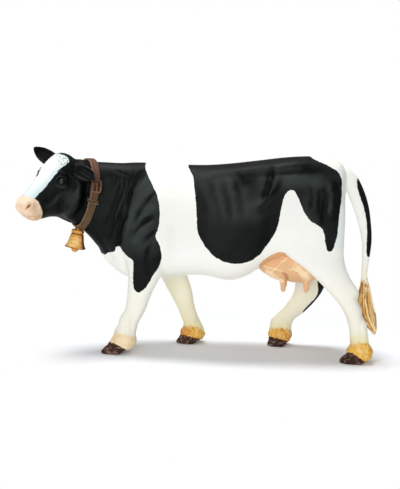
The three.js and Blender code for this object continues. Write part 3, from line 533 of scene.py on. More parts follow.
def head_frame() -> HeadFrame:
    """Returns the head's frame from its turn, slope and roll."""
    yaw, slope, roll = (math.radians(a) for a in (HEAD_TURN, FACE_SLOPE, HEAD_ROLL))
    down = np.array((-math.cos(yaw) * math.cos(slope), -math.sin(yaw) * math.cos(slope), -math.sin(slope)))
    level = np.array((math.sin(yaw), -math.cos(yaw), 0.0))
    out = np.cross(down, level)
    left = level * math.cos(roll) - out * math.sin(roll)
    front = out * math.cos(roll) + level * math.sin(roll)
    return HeadFrame(body_place(*POLL_PLACE), down, left, front)


HEAD = head_frame()


@dataclass(frozen=True)
class Shapes:
    """The animal's forms, each blended from its table with so many steps between two rows."""

    steps: int

    def trunk(self) -> Form:
        """Returns the trunk from the brisket to the pin bones."""
        along, top, under, widest, half, high, low = blended_rows(TRUNK_ROWS, self.steps).T
        return form_of(body_place(along, along * 0, widest), FARWARD, UPWARD, half * BARREL_WIDTH,
                       (top - widest) * POLL_HEIGHT, (widest - under) * POLL_HEIGHT, high, low)

    def neck(self) -> Form:
        """Returns the neck from inside the chest to inside the head."""
        along, side, height, turn, lift, half, rise, drop = blended_rows(NECK_ROWS, self.steps).T
        _, left, up = neck_directions(turn, lift)
        return form_of(body_place(along, side, height), left, up, half * NECK_WIDTH, rise * NECK_DEPTH,
                       drop * NECK_DEPTH)

    def leg(self, table: Table, shank: Pair) -> Form:
        """Returns a leg, from its rows and the depth and width of its shank, up into the trunk."""
        height, along, side, deep, wide = blended_rows(table, self.steps).T
        return form_of(body_place(along, side, height), directions(1, 0, -coronet_slope(height)),
                       FARWARD, deep * shank[0] / 2, wide * shank[1] / 2, high=LIMB_POWER)

    def head(self) -> Form:
        """Returns the skull and muzzle."""
        along, top, jaw, widest, half, high, low = blended_rows(HEAD_ROWS, self.steps).T
        return form_of(HEAD.place(along, along * 0, widest), HEAD.left, HEAD.front, half * HEAD_WIDTH,
                       (top - widest) * HEAD_DEPTH, (widest - jaw) * HEAD_DEPTH, high, low)

    def throat(self) -> Form:
        """Returns the loose skin from under the jaw down to the neck."""
        along, out, radius = blended_rows(THROAT_ROWS, self.steps).T
        return form_of(HEAD.place(along, along * 0, out), HEAD.left, HEAD.down, radius, radius)

    def udder(self) -> Form:
        """Returns the udder's bag."""
        share, half, rise, drop, lift = blended_rows(UDDER_ROWS, self.steps).T
        centre = body_place(*UDDER_PLACE) + directions(share * UDDER_LENGTH, 0, lift * UDDER_DEPTH)
        return form_of(centre, FARWARD, UPWARD, half * UDDER_WIDTH, rise * UDDER_DEPTH,
                       drop * UDDER_DEPTH, UDDER_POWER)

    def tail(self) -> Form:
        """Returns the tail from its root in the rump to the end of its tuft."""
        rows = [(*row[:4], row[4] * TAIL_SIZE[0], row[5] * TAIL_SIZE[1]) for row in TAIL_ROWS]
        rows += [(*row[:4], row[4] * TUFT_SIZE[0], row[5] * TUFT_SIZE[1]) for row in TUFT_ROWS]
        along, side, height, lean, deep, wide = blended_rows(tuple(rows), self.steps).T
        angle = np.radians(lean)
        return form_of(body_place(along, side, height), directions(np.cos(angle), 0, np.sin(angle)),
                       FARWARD, deep / 2, wide / 2)


@dataclass(frozen=True)
class Picture:
    """The photograph's view: a pinhole camera set against the design, and its picture's pixels."""

    width: float = 400.0
    height: float = 489.0
    focal: float = 800.0
    azimuth: float = 8.8
    pitch: float = 6.4
    place: Triple = (34.5, -319.0, 79.5)
    sensor: float = 36.0
    clip: Pair = (0.01, 10.0)

    @property
    def axes(self) -> tuple[np.ndarray, np.ndarray, np.ndarray]:
        """Returns the directions forward, to the right and up."""
        turn, dip = math.radians(self.azimuth), math.radians(self.pitch)
        right = np.array((math.cos(turn), math.sin(turn), 0.0))
        forward = np.array((-math.sin(turn) * math.cos(dip), math.cos(turn) * math.cos(dip),
                            -math.sin(dip)))
        return forward, right, np.cross(right, forward)

    def pixels(self, places: np.ndarray) -> np.ndarray:
        """Finds the pixel of each design place.

        Args:
            places: The design places.

        Returns:
            Their pixels across and down.
        """
        forward, right, up = self.axes
        apart = places - np.array(self.place)
        depth = apart @ forward
        return np.stack([self.width / 2 + self.focal * (apart @ right) / depth,
                         self.height / 2 - self.focal * (apart @ up) / depth], -1)

    def make_camera(self) -> None:
        """Adds the camera and makes it the scene's."""
        data = bpy.data.cameras.new("photo_camera")
        data.sensor_width = self.sensor
        data.lens = self.focal * self.sensor / self.height
        data.clip_start, data.clip_end = self.clip
        camera = in_scene("photo_camera", data)
        forward, right, up = self.axes
        turn = Matrix((right, up, -forward)).transposed()
        camera.matrix_world = Matrix.Translation(Vector(to_frame(np.array(self.place)))) @ turn.to_4x4()
        bpy.context.scene.camera = camera


PICTURE = Picture()
PIXELS_PER_MM = 2.54

# How much of a side is lost where an outline's corner is cut off
CORNER_CUT = 0.2


def line_distance(points: np.ndarray, line: Outline) -> np.ndarray:
    """Measures how far points lie from a chain of straight lines.

    Args:
        points: The points.
        line: The chain's corners.

    Returns:
        The distances, in the points' own unit.
    """
    corners = np.asarray(line, float)
    best = np.full(len(points), np.inf)
    for start, end in zip(corners[:-1], corners[1:]):
        run = end - start
        share = np.clip((points - start) @ run / max(run @ run, TINY), 0.0, 1.0)
        best = np.minimum(best, np.linalg.norm(points - start - share[:, None] * run, axis=1))
    return best


def line_share(pixels: np.ndarray, line: Outline, width: float) -> np.ndarray:
    """Returns 1 on a line of pixels, less away from it as a bell curve of a width in millimetres."""
    return np.exp(-((line_distance(pixels, line) / PIXELS_PER_MM / width) ** 2))


def inside_outline(points: np.ndarray, outline: np.ndarray) -> np.ndarray:
    """Tests which points lie inside a closed outline.

    Args:
        points: The points.
        outline: The outline's corners.

    Returns:
        Whether each lies inside.
    """
    inside = np.zeros(len(points), bool)
    for (x1, y1), (x2, y2) in zip(outline, np.roll(outline, -1, axis=0)):
        if y1 == y2:
            continue
        crosses = (y1 > points[:, 1]) != (y2 > points[:, 1])
        at = (x2 - x1) * (points[:, 1] - y1) / (y2 - y1) + x1
        inside ^= crosses & (points[:, 0] < at)
    return inside


def rounded(outline: Outline) -> np.ndarray:
    """Cuts each corner of an outline off twice, so that it runs in curves.

    Args:
        outline: The outline.

    Returns:
        The new corners.
    """
    corners = np.array(outline, float)
    for _ in range(2):
        ahead = np.roll(corners, -1, axis=0)
        cuts = [(1 - CORNER_CUT) * corners + CORNER_CUT * ahead,
                CORNER_CUT * corners + (1 - CORNER_CUT) * ahead]
        corners = np.stack(cuts, 1).reshape(-1, 2)
    return corners


def outline_depth(pixels: np.ndarray, outline: Outline) -> np.ndarray:
    """Measures how far inside an outline each pixel lies.

    Args:
        pixels: The pixels.
        outline: The outline.

    Returns:
        The depths in millimetres, below zero outside.
    """
    corners = rounded(outline)
    away = line_distance(pixels, np.vstack([corners, corners[:1]])) / PIXELS_PER_MM
    return np.where(inside_outline(pixels, corners), away, -away)


@dataclass
class Shell:
    """A closed skin as arrays: places in design millimetres and its faces' corners."""

    places: np.ndarray
    quads: np.ndarray

    @classmethod
    def remeshed(cls, bm: bmesh.types.BMesh, voxel: float) -> "Shell":
        """Melts a mesh's overlapping forms into one skin.

        Args:
            bm: The mesh of forms, which is freed.
            voxel: The size of the skin's faces, in millimetres.

        Returns:
            The skin.
        """
        mesh = bpy.data.meshes.new("forms")
        bm.to_mesh(mesh)
        bm.free()
        forms = in_scene("forms", mesh)
        remesh = forms.modifiers.new("melt", "REMESH")
        remesh.mode = "VOXEL"
        remesh.voxel_size = voxel * MM
        graph = bpy.context.evaluated_depsgraph_get()
        melted = bpy.data.meshes.new_from_object(forms.evaluated_get(graph), depsgraph=graph)
        places = np.zeros(len(melted.vertices) * 3)
        melted.vertices.foreach_get("co", places)
        corners = np.zeros(len(melted.loops), int)
        melted.loops.foreach_get("vertex_index", corners)
        bpy.data.objects.remove(forms)
        bpy.data.meshes.remove(mesh)
        bpy.data.meshes.remove(melted)
        return cls(to_design(places.reshape(-1, 3)), corners.reshape(-1, 4))

    @property
    def edges(self) -> np.ndarray:
        """Returns the pairs of corners that share an edge, once each."""
        pairs = np.vstack([np.stack([self.quads[:, i], self.quads[:, (i + 1) % 4]], 1) for i in range(4)])
        return np.unique(np.sort(pairs, axis=1), axis=0)

    @property
    def normals(self) -> np.ndarray:
        """Returns each corner's direction out of the skin."""
        a, b, c, d = (self.places[self.quads[:, i]] for i in range(4))
        face = np.cross(c - a, d - b)
        count = len(self.places)
        total = np.stack([sum(np.bincount(self.quads[:, i], face[:, axis], count) for i in range(4))
                          for axis in range(3)], -1)
        return unit(total)

    def relax(self, rounds: int, weight: Number = 1.0) -> None:
        """Smooths the skin, each place halfway toward the mean of its neighbours.

        Args:
            rounds: How often.
            weight: How much of the way each place goes, from 0 to 1.
        """
        start, end = self.edges.T
        count = len(self.places)
        ends = np.concatenate([start, end])
        others = np.concatenate([end, start])
        valence = np.bincount(ends, minlength=count)[:, None]
        share = 0.5 * np.broadcast_to(np.asarray(weight, float), count)[:, None]
        for _ in range(rounds):
            total = np.stack([np.bincount(ends, self.places[others, axis], count) for axis in range(3)], -1)
            self.places += share * (total / valence - self.places)

    def to_mesh(self, name: str, keep: np.ndarray | None = None) -> bpy.types.Mesh:
        """Makes a mesh of the skin, in the frame's metres.

        Args:
            name: The mesh's name.
            keep: Which faces are kept, if not all.

        Returns:
            The mesh.
        """
        quads = self.quads if keep is None else self.quads[keep]
        used, corners = np.unique(quads, return_inverse=True)
        mesh = bpy.data.meshes.new(name)
        mesh.vertices.add(len(used))
        mesh.vertices.foreach_set("co", to_frame(self.places[used]).ravel())
        mesh.loops.add(corners.size)
        mesh.loops.foreach_set("vertex_index", corners.ravel().astype(np.int32))
        mesh.polygons.add(len(quads))
        mesh.polygons.foreach_set("loop_start", np.arange(len(quads), dtype=np.int32) * 4)
        mesh.update(calc_edges=True)
        return mesh


class Region(Enum):
    """Which places a stroke marks."""

    BODY = "both flanks, the far one mirrored"
    HEAD = "both sides of the head, folded over its own middle"
    LEGS = "the legs, each where the picture shows it"


@dataclass(frozen=True)
class Stroke:
    """A raised or sunk line, drawn in the picture's pixels, with its width and height in millimetres."""

    region: Region
    width: float
    height: float
    line: Outline

    def heights(self, pixels: np.ndarray) -> np.ndarray:
        """Works out how high the stroke stands: it wanders a little and tapers at its ends.

        The numbers in the waves only have to be unlike, so that no two strokes wander alike.

        Args:
            pixels: The pixels of the places that it may mark.

        Returns:
            The heights, in millimetres.
        """
        line = np.array(self.line, float)
        phase = line[0, 0]
        wander = np.stack([np.sin(pixels[:, 1] * 0.61 + pixels[:, 0] * 0.13),
                           np.sin(pixels[:, 0] * 0.53 + 1.7)], -1)
        moved = pixels + wander * (0.35 + 0.25 * np.sin(pixels[:, 1:] * 0.23 + phase))
        run = line[-1] - line[0]
        share = (moved - line[0]) @ run / (run @ run)
        taper = smooth_share(share, -0.04, 0.3) * smooth_share(-share, -1.04, -0.7)
        vary = 1 + 0.3 * np.sin(share * 7 + phase)
        return self.height * vary * taper * line_share(moved, line, self.width)


def strokes(region: Region, *rows: tuple[float, float, Outline]) -> tuple[Stroke, ...]:
    """Returns strokes of one region from their widths, heights and lines."""
    return tuple(Stroke(region, width, height, line) for width, height, line in rows)


def folded(places: np.ndarray) -> np.ndarray:
    """Returns places with those on the far side brought over to the near side."""
    return np.stack([places[:, 0], -np.abs(places[:, 1]), places[:, 2]], -1)


class Sum:
    """A shader socket that takes part in sums as a number does: each operation adds a Math node."""

    def __init__(self, nodes: "PaintNodes", socket: bpy.types.NodeSocket) -> None:
        """Wraps a socket of the given node tree."""
        self.nodes = nodes
        self.socket = socket

    def math(self, operation: str, *values: "Sum | float") -> "Sum":
        """Returns a Math node's result for the given values, in order."""
        node = self.nodes.node("ShaderNodeMath", {"operation": operation}, dict(enumerate(values)))
        return Sum(self.nodes, node.outputs[0])

    def __add__(self, other: "Sum | float") -> "Sum":
        """Returns the sum."""
        return self.math("ADD", self, other)

    def __radd__(self, other: float) -> "Sum":
        """Returns the sum with a number first."""
        return self.math("ADD", other, self)

    def __sub__(self, other: "Sum | float") -> "Sum":
        """Returns the difference."""
        return self.math("SUBTRACT", self, other)

    def __rsub__(self, other: float) -> "Sum":
        """Returns a number less this."""
        return self.math("SUBTRACT", other, self)

    def __mul__(self, other: "Sum | float") -> "Sum":
        """Returns the product."""
        return self.math("MULTIPLY", self, other)

    def __rmul__(self, other: float) -> "Sum":
        """Returns the product with a number first."""
        return self.math("MULTIPLY", other, self)

    def __truediv__(self, other: "Sum | float") -> "Sum":
        """Returns the quotient."""
        return self.math("DIVIDE", self, other)

    def larger(self, other: "Sum | float") -> "Sum":
        """Returns the larger of the two."""
        return self.math("MAXIMUM", self, other)

    def ramp(self, low: float, high: float) -> "Sum":
        """Adds a smooth ramp.

        Args:
            low: Where it starts from 0.
            high: Where it reaches 1.

        Returns:
            The ramp's value.
        """
        settings = {"interpolation_type": "SMOOTHSTEP", "clamp": True}
        values = {"Value": self, "From Min": low, "From Max": high}
        node = self.nodes.node("ShaderNodeMapRange", settings, values)
        return Sum(self.nodes, node.outputs["Result"])


Colour = Triple
WHITE: Colour = (1.0, 1.0, 1.0)

# The colour sockets of a Mix node, whose names stand on its other sockets too
MIX_SHARE, MIX_FIRST, MIX_SECOND, MIX_RESULT = 0, 6, 7, 2


def srgb(red: int, green: int, blue: int) -> Colour:
    """Returns a colour that is written as a picture's values, for a shader."""
    parts = (part / 255 for part in (red, green, blue))
    return tuple(p / 12.92 if p <= 0.04045 else ((p + 0.055) / 1.055) ** 2.4 for p in parts)


class PaintNodes:
    """The node tree of a material or of the world, with the few makers that the finishes need."""

    def __init__(self, owner: bpy.types.Material | bpy.types.World) -> None:
        """Empties a node tree and gives it an output.

        Args:
            owner: The material or world that the tree belongs to.
        """
        owner.use_nodes = True
        self.owner = owner
        self.tree = owner.node_tree
        self.tree.nodes.clear()
        kind = "World" if isinstance(owner, bpy.types.World) else "Material"
        self.output = self.tree.nodes.new("ShaderNodeOutput" + kind)

    @cached_property
    def place(self) -> bpy.types.NodeSocket:
        """Returns the place on the piece, in its own metres."""
        return self.tree.nodes.new("ShaderNodeTexCoord").outputs["Object"]

    def node(self, kind: str, settings: dict[str, object] | None = None,
             values: dict[int | str, object] | None = None) -> bpy.types.Node:
        """Adds a node.

        Args:
            kind: The node's type.
            settings: Its own settings, which are made first.
            values: The values or links of its sockets, by name or number.

        Returns:
            The node.
        """
        node = self.tree.nodes.new(kind)
        for key, value in (settings or {}).items():
            setattr(node, key, value)
        for key, value in (values or {}).items():
            socket = node.inputs[key]
            if isinstance(value, Sum):
                value = value.socket
            if isinstance(value, bpy.types.NodeSocket):
                self.tree.links.new(value, socket)
            elif isinstance(value, tuple) and socket.type == "RGBA":
                socket.default_value = (*value, 1.0)
            else:
                socket.default_value = value
        return node

    def attribute(self, name: str) -> Sum:
        """Returns a piece's own number at each place."""
        node = self.node("ShaderNodeAttribute", {"attribute_name": name})
        return Sum(self, node.outputs["Fac"])

    def noise(self, size: float, detail: float = 2.0, stretch: Triple = (1.0, 1.0, 1.0),
              rough: float = 0.5) -> Sum:
        """Returns soft noise from 0 to 1.

        Args:
            size: The size of its blots, in millimetres.
            detail: How many finer layers it has.
            stretch: How much shorter the blots are along each direction.
            rough: How strong the finer layers are.

        Returns:
            The noise.
        """
        mapped = self.node("ShaderNodeMapping", {}, {"Vector": self.place, "Scale": stretch})
        values = {"Vector": mapped.outputs[0], "Scale": 1 / (size * MM), "Detail": detail,
                  "Roughness": rough}
        return Sum(self, self.node("ShaderNodeTexNoise", {}, values).outputs["Fac"])

    def cells(self, size: float) -> Sum:
        """Returns the distance to the nearest of scattered points, in shares of their spacing."""
        values = {"Vector": self.place, "Scale": 1 / (size * MM)}
        return Sum(self, self.node("ShaderNodeTexVoronoi", {}, values).outputs["Distance"])

    def mix(self, share: Sum | float, first: object, second: object) -> bpy.types.NodeSocket:
        """Returns two colours mixed by a share of the second."""
        values = {MIX_SHARE: share, MIX_FIRST: first, MIX_SECOND: second}
        return self.node("ShaderNodeMix", {"data_type": "RGBA"}, values).outputs[MIX_RESULT]

    def shader(self, kind: str, *values: object) -> bpy.types.NodeSocket:
        """Returns the shader of a node whose first sockets take the given values, in order."""
        return self.node("ShaderNode" + kind, {}, dict(enumerate(values))).outputs[0]

    def bump(self, height: Sum, strength: float, distance: float) -> bpy.types.NodeSocket:
        """Returns a normal for a height, with the distance in millimetres."""
        values = {"Height": height, "Strength": strength, "Distance": distance * MM}
        return self.node("ShaderNodeBump", {}, values).outputs["Normal"]

    def surface(self, shader: bpy.types.NodeSocket) -> bpy.types.Material | bpy.types.World:
        """Links a shader to the output and returns what the nodes are for."""
        self.tree.links.new(shader, self.output.inputs["Surface"])
        return self.owner

    def finish(self, **sockets: object) -> bpy.types.Material:
        """Returns the material with a painted surface of the given sockets, words joined by underscores."""
        values = {key.replace("_", " "): value for key, value in sockets.items()}
        return self.surface(self.node("ShaderNodeBsdfPrincipled", {}, values).outputs[0])


def paint_nodes(name: str) -> PaintNodes:
    """Returns the nodes of a new, empty material."""
    return PaintNodes(bpy.data.materials.new(name))


class CoatNodes(PaintNodes):
    """The coat's node tree, with the noises and the numbers that several of its paints share."""

    def __init__(self, paint: "CoatPaint") -> None:
        """Starts the coat's material.

        Args:
            paint: The coat's colours.
        """
        super().__init__(bpy.data.materials.new("coat_paint"))
        self.paint = paint
        self.wobble = self.noise(2.2, 3.0) - 0.5
        self.fine = self.noise(0.7, 2.0) - 0.5
        self.strands = self.noise(1.1, 3.0, (1.7, 1.7, 0.75), 0.62)
        self.relief = self.attribute("relief")
        self.sunk = self.relief * -1.0
        self.tone = self.attribute("tone")

    def patches(self) -> Sum:
        """Returns where the coat is black: in the patches, whose edges wander, and in the poll's dots."""
        dots = self.attribute("stipple") * 0.14 + self.paint.dot_share - self.cells(self.paint.dot_spacing)
        patch = self.attribute("patch") + self.wobble * 0.6 + self.fine * 0.35
        return patch.larger(dots * 2.0).ramp(-self.paint.edge, self.paint.edge)

    def hide(self, patch: Sum) -> bpy.types.NodeSocket:
        """Mixes the coat's white and black.

        Args:
            patch: Where it is black.

        Returns:
            The colour: white that turns creamy, takes a cool painted shade and painted shade in its
                creases, and black with a painted highlight, partly dry-brushing, where it stands proud and
                painted shade in its creases.
        """
        creamy = self.attribute("cream") * (self.noise(6.0, 4.0) + 0.5)
        light = self.mix(creamy, self.paint.white, self.paint.cream)
        # Cool painted shade on the white, and painted shade in its creases
        light = self.mix(self.attribute("cool"), light, self.paint.cool)
        light = self.mix(self.sunk.ramp(0.02, 0.9) * 0.4, light, self.paint.shade)
        # Painted highlight on the black, partly dry-brushing, where it stands proud, and painted shade in
        # its creases
        broad = self.noise(9.0, 3.0).ramp(0.4, 0.8) * 0.14
        raised = self.relief.ramp(-0.15, 0.65) * 0.72 + self.fine * 0.1 + broad
        dark = self.mix(raised, self.paint.black, self.paint.sheen)
        dark = self.mix(self.sunk.ramp(0.15, 1.1) * 0.9, dark, self.paint.crease_shade)
        return self.mix(patch, light, dark)

    def nose(self) -> bpy.types.NodeSocket:
        """Returns the muzzle's blotched pink, with painted shade on its lower part and round the nostrils,
        and a darker brown in the nostrils and creases, as paint in the nostrils and painted shade in the
        creases.
        """
        nose = self.mix(self.noise(2.6, 3.0).ramp(0.42, 0.66) * 0.55, self.paint.pink, self.paint.blush)
        nose = self.mix((self.tone + self.fine).ramp(0.1, 1.1) * 0.8, nose, self.paint.tan)
        return self.mix(self.sunk.ramp(0.2, 0.9), nose, self.paint.nostril_and_crease_shade)

    def hair(self) -> bpy.types.NodeSocket:
        """Returns the fringes' gold, deeper with the tone, with strands of straw and rust."""
        tone = self.tone + self.wobble * 0.9
        gold = self.mix(tone.ramp(0.0, 0.5), self.paint.pale_gold, self.paint.rich_gold)
        gold = self.mix(tone.ramp(0.5, 1.0), gold, self.paint.deep_gold)
        gold = self.mix((self.strands * -1.0).ramp(-0.46, -0.34) * 0.6, gold, self.paint.straw)
        return self.mix(self.strands.ramp(0.54, 0.68) * (tone * 0.8 + 0.12), gold, self.paint.rust)

    def horn(self, hoof: Sum) -> bpy.types.NodeSocket:
        """Mixes the hooves' dusty horn, which glows like embers under the hair.

        Args:
            hoof: How far below the hair's edge each place lies.

        Returns:
            The colour.
        """
        dusty = self.noise(1.2, 4.0, (0.7, 1.0, 1.4)).ramp(0.42, 0.75)
        horn = self.mix(dusty, self.paint.hoof, self.paint.dust)
        return self.mix((hoof * -1.0).ramp(-0.7, 0.1), horn, self.paint.ember)


@dataclass(frozen=True)
class CoatPaint:
    """The hand-painted coat: white with black patches, pink nose, golden fringes and dark hooves."""

    white: Colour = srgb(252, 253, 249)
    cream: Colour = srgb(249, 238, 190)
    # Painted shade in the white's creases, and a cool painted shade on the white
    shade: Colour = srgb(214, 211, 186)
    cool: Colour = srgb(208, 231, 236)
    black: Colour = srgb(10, 13, 12)
    # A painted highlight on the black, partly dry-brushing, and a painted shade in its creases
    sheen: Colour = srgb(62, 69, 67)
    crease_shade: Colour = srgb(7, 8, 8)
    pink: Colour = srgb(255, 230, 200)
    blush: Colour = srgb(246, 206, 170)
    # Painted shade on the muzzle's lower part and round the nostrils, and in its creases and nostrils
    tan: Colour = srgb(214, 176, 136)
    nostril_and_crease_shade: Colour = srgb(168, 116, 80)
    bag: Colour = srgb(230, 180, 132)
    pale_gold: Colour = srgb(255, 230, 190)
    rich_gold: Colour = srgb(247, 192, 80)
    deep_gold: Colour = srgb(232, 156, 78)
    straw: Colour = srgb(255, 244, 208)
    rust: Colour = srgb(150, 92, 34)
    ember: Colour = srgb(98, 44, 18)
    hoof: Colour = srgb(60, 40, 33)
    dust: Colour = srgb(152, 122, 106)
    edge: float = 0.12
    dot_share: float = 0.25
    dot_spacing: float = 0.52
    roughness: float = 0.55
    gleam: float = 0.08

    def material(self) -> bpy.types.Material:
        """Returns the coat's material, which reads the paint's attributes."""
        nodes = CoatNodes(self)
        patch = nodes.patches()
        bag = (nodes.attribute("bag") + nodes.wobble * 0.4).ramp(-0.15, 0.15)
        pink = (nodes.attribute("pink") + nodes.wobble * 0.8).ramp(-0.25, 0.25)
        fringe = (nodes.attribute("fringe") + (nodes.strands - 0.5) * 3.0).ramp(-0.7, 0.7)
        hoof = nodes.attribute("hoof") + (nodes.strands - 0.5) * 1.2
        base = nodes.mix(bag, nodes.hide(patch), self.bag)
        base = nodes.mix(pink, base, nodes.nose())
        base = nodes.mix(fringe, base, nodes.hair())
        base = nodes.mix(hoof.ramp(-0.1, 0.1), base, nodes.horn(hoof))
        height = nodes.noise(0.8, 3.0) * 0.6 + nodes.strands * fringe * 2.4
        return nodes.finish(Base_Color=base, Roughness=patch * -0.05 + self.roughness,
                            Specular_IOR_Level=self.gleam, Normal=nodes.bump(height, 0.25, 0.14))


@dataclass(frozen=True)
class PlainPaint:
    """A painted part of one hue, with painted shade in its hollows, and lighter where it stands proud, as
    wear and as painted highlight.
    """

    name: str
    base: Colour
    # The lighter colour stands for wear and painted highlight, the deep one for painted shade
    wear_and_highlight: Colour
    deep: Colour
    roughness: float = 0.5
    metallic: float = 0.0
    grain: float = 1.2
    bump_depth: float = 0.08
    gleam: float = 0.35
    tint: Colour = (0.1, 0.1, 0.1)

    def material(self) -> bpy.types.Material:
        """Returns the paint's material, which reads the tone attribute from -1, the deep colour of painted
        shade, to 1, the colour of wear and painted highlight.

        A piece that keeps a tint attribute turns to the tint's colour where that is high.
        """
        nodes = paint_nodes(self.name)
        blots = nodes.noise(self.grain, 4.0, rough=0.6) - 0.5
        tone = nodes.attribute("tone") + blots * 1.4
        colour = nodes.mix(nodes.attribute("tint"), self.base, self.tint)
        # Lighter toward wear and painted highlight, darker toward painted shade
        colour = nodes.mix(tone.ramp(0.05, 0.9), colour, self.wear_and_highlight)
        colour = nodes.mix((tone * -1.0).ramp(0.05, 0.9), colour, self.deep)
        height = nodes.noise(self.grain * 0.5, 3.0)
        return nodes.finish(Base_Color=colour, Roughness=blots * 0.25 + self.roughness,
                            Metallic=self.metallic, Specular_IOR_Level=self.gleam,
                            Normal=nodes.bump(height, 0.35, self.bump_depth))


@dataclass(frozen=True)
class GlossPaint:
    """The wet-looking eye."""

    pupil: Colour = srgb(14, 12, 12)
    iris: Colour = srgb(26, 21, 19)
    roughness: float = 0.4
    wetness: float = 0.12

    def material(self) -> bpy.types.Material:
        """Returns the eye's material."""
        nodes = paint_nodes("eye_gloss")
        colour = nodes.mix(nodes.noise(0.6, 2.0).ramp(0.45, 0.7), self.pupil, self.iris)
        return nodes.finish(Base_Color=colour, Roughness=self.roughness, Coat_Weight=self.wetness)


# Paint outlines on the near side, in the picture's pixels
SHOULDER_PATCH: Outline = (
    (100.5, 252), (105, 255.3), (108.6, 252.4), (114.8, 251.5), (115.8, 247), (119.6, 245.7), (123, 252),
    (127.7, 256.7), (133.5, 260.5), (133, 274), (133, 284), (133.8, 289.5), (138.2, 293), (142.7, 290.8),
    (147.1, 285.9), (153.4, 275.2), (158.3, 268), (161.4, 260), (161.7, 253.8), (159.3, 244.3),
    (155, 236.6), (158.8, 228), (159.8, 214.6), (159.3, 205), (157.4, 195.5), (153.6, 187),
    (147.8, 175.4), (145, 167.7), (146, 162.5), (146, 145), (0, 120), (0, 260), (90, 262),
)
BARREL_PATCH: Outline = (
    (188, 145), (188, 164.9), (189, 168.7), (193.3, 176.4), (193.8, 185), (195.7, 199.3), (196.6, 216.5),
    (197.1, 231.8), (203.3, 244.3), (212.9, 255.8), (223.4, 262), (238.7, 264.4), (250.4, 261.4),
    (259.6, 255.3), (264.7, 248.2), (270.8, 240), (275.9, 231.8), (279, 221.6), (281, 209.4),
    (284.1, 197.1), (288.2, 190.5), (294.3, 190), (299.4, 200.2), (303.5, 211.4), (309.6, 220.6),
    (318.8, 225.7), (323.9, 230.8), (325.9, 247.1), (328, 252.2), (333.1, 250.2), (337.1, 236.9),
    (338.2, 226.7), (339.7, 211.4), (341.7, 197), (342.2, 184.9), (340.7, 175.7), (335.6, 169.1),
    (309.6, 157.3), (300, 145),
)
FAR_SHOULDER_PATCH: Outline = (
    (146, 145), (146, 162.5), (151, 176), (158, 192), (164, 210), (163, 232), (156, 250), (146, 262),
    (137, 268), (128, 262), (118, 252), (108, 258), (95, 266), (0, 280), (0, 120),
)
FAR_BARREL_PATCH: Outline = (
    (188, 145), (188, 164.9), (184, 182), (176, 198), (171, 218), (176, 238), (190, 252), (210, 259),
    (232, 262), (250, 254), (262, 240), (272, 226), (286, 216), (302, 222), (314, 238), (326, 244),
    (336, 232), (341, 212), (342, 190), (338, 172), (309.6, 157.3), (300, 145),
)
BLAZE: Outline = (
    (54, 146), (59.4, 153.6), (67.5, 156.8), (69.4, 161.8), (65, 165.5), (59.9, 168.7), (55.4, 174.4),
    (50.8, 180.2), (45.6, 187.6), (37.6, 195.1), (35, 198.6), (0, 210), (0, 146),
)
MUZZLE: Outline = (
    (0, 196), (18.6, 198.6), (23.2, 196.3), (28.9, 196.8), (35, 198.6), (39.3, 203.1), (42.7, 212.9),
    (41.5, 218), (40, 232), (0, 232),
)
POLL_DOTS: Outline = (
    (56.5, 150), (70, 150), (71, 163), (66.5, 168.5), (61, 169), (59, 163.5), (56.5, 156),
)
BAG_PATCH: Outline = (
    (258.3, 265.6), (262.5, 261), (268, 257), (273, 254), (278.8, 252), (282, 252), (285, 253),
    (292, 258), (298.8, 263), (308.8, 271.5), (316.5, 280.8), (317, 290), (262, 290),
)
NEAR_PATCHES = (SHOULDER_PATCH, BARREL_PATCH)
FAR_PATCHES = (FAR_SHOULDER_PATCH, FAR_BARREL_PATCH)
JAW_SHADE: Outline = ((85, 158), (86.5, 178), (85, 198), (80, 212), (74, 222))

# Lines where the black is painted lighter, as dry-brushing and painted highlight, or darker, as painted
# shade on its lit top, with their widths in millimetres and strengths
BRUSHED_HIGHLIGHT_AND_SHADE = (
    (((205, 186), (214, 203), (222, 216)), 5.0, 0.3),
    (((228, 182), (236, 200), (240, 212)), 3.5, 0.25),
    (((286, 181), (305, 180), (324, 184)), 2.6, 0.3),
    (((152, 180), (144, 200), (137, 222)), 3.0, 0.3),
    (((112, 178), (122, 180), (132, 184)), 2.6, 0.2),
    (((196, 178), (240, 172), (300, 168)), 1.4, 0.2),
    (((248, 186), (252, 200), (254, 214)), 3.5, 0.4),
    (((262, 180), (263, 190), (262, 200)), 3.0, 0.35),
    (((104, 166), (125, 166.5), (142, 168)), 3.2, -0.75),
    (((196, 167), (230, 164.5), (270, 160), (304, 162)), 3.0, -0.45),
)
NOSTRIL_SHADE: Pair = (33, 206)
RUMP_SHADE_LINE: Outline = ((341, 172), (343.5, 200), (341.5, 225), (340, 245))
HOCK_PATCH: Outline = (
    (317.4, 279), (327, 285), (326, 292), (316.5, 303.5), (304.5, 315), (302, 311.5), (309, 304.5),
    (314, 299.5), (317, 295.5), (318.2, 290), (317.6, 284),
)
BROW_SLIVER: Outline = (
    (42.8, 164), (41.2, 167.2), (39.6, 170.6), (38, 174.6), (36, 177), (30, 177), (31, 163),
)

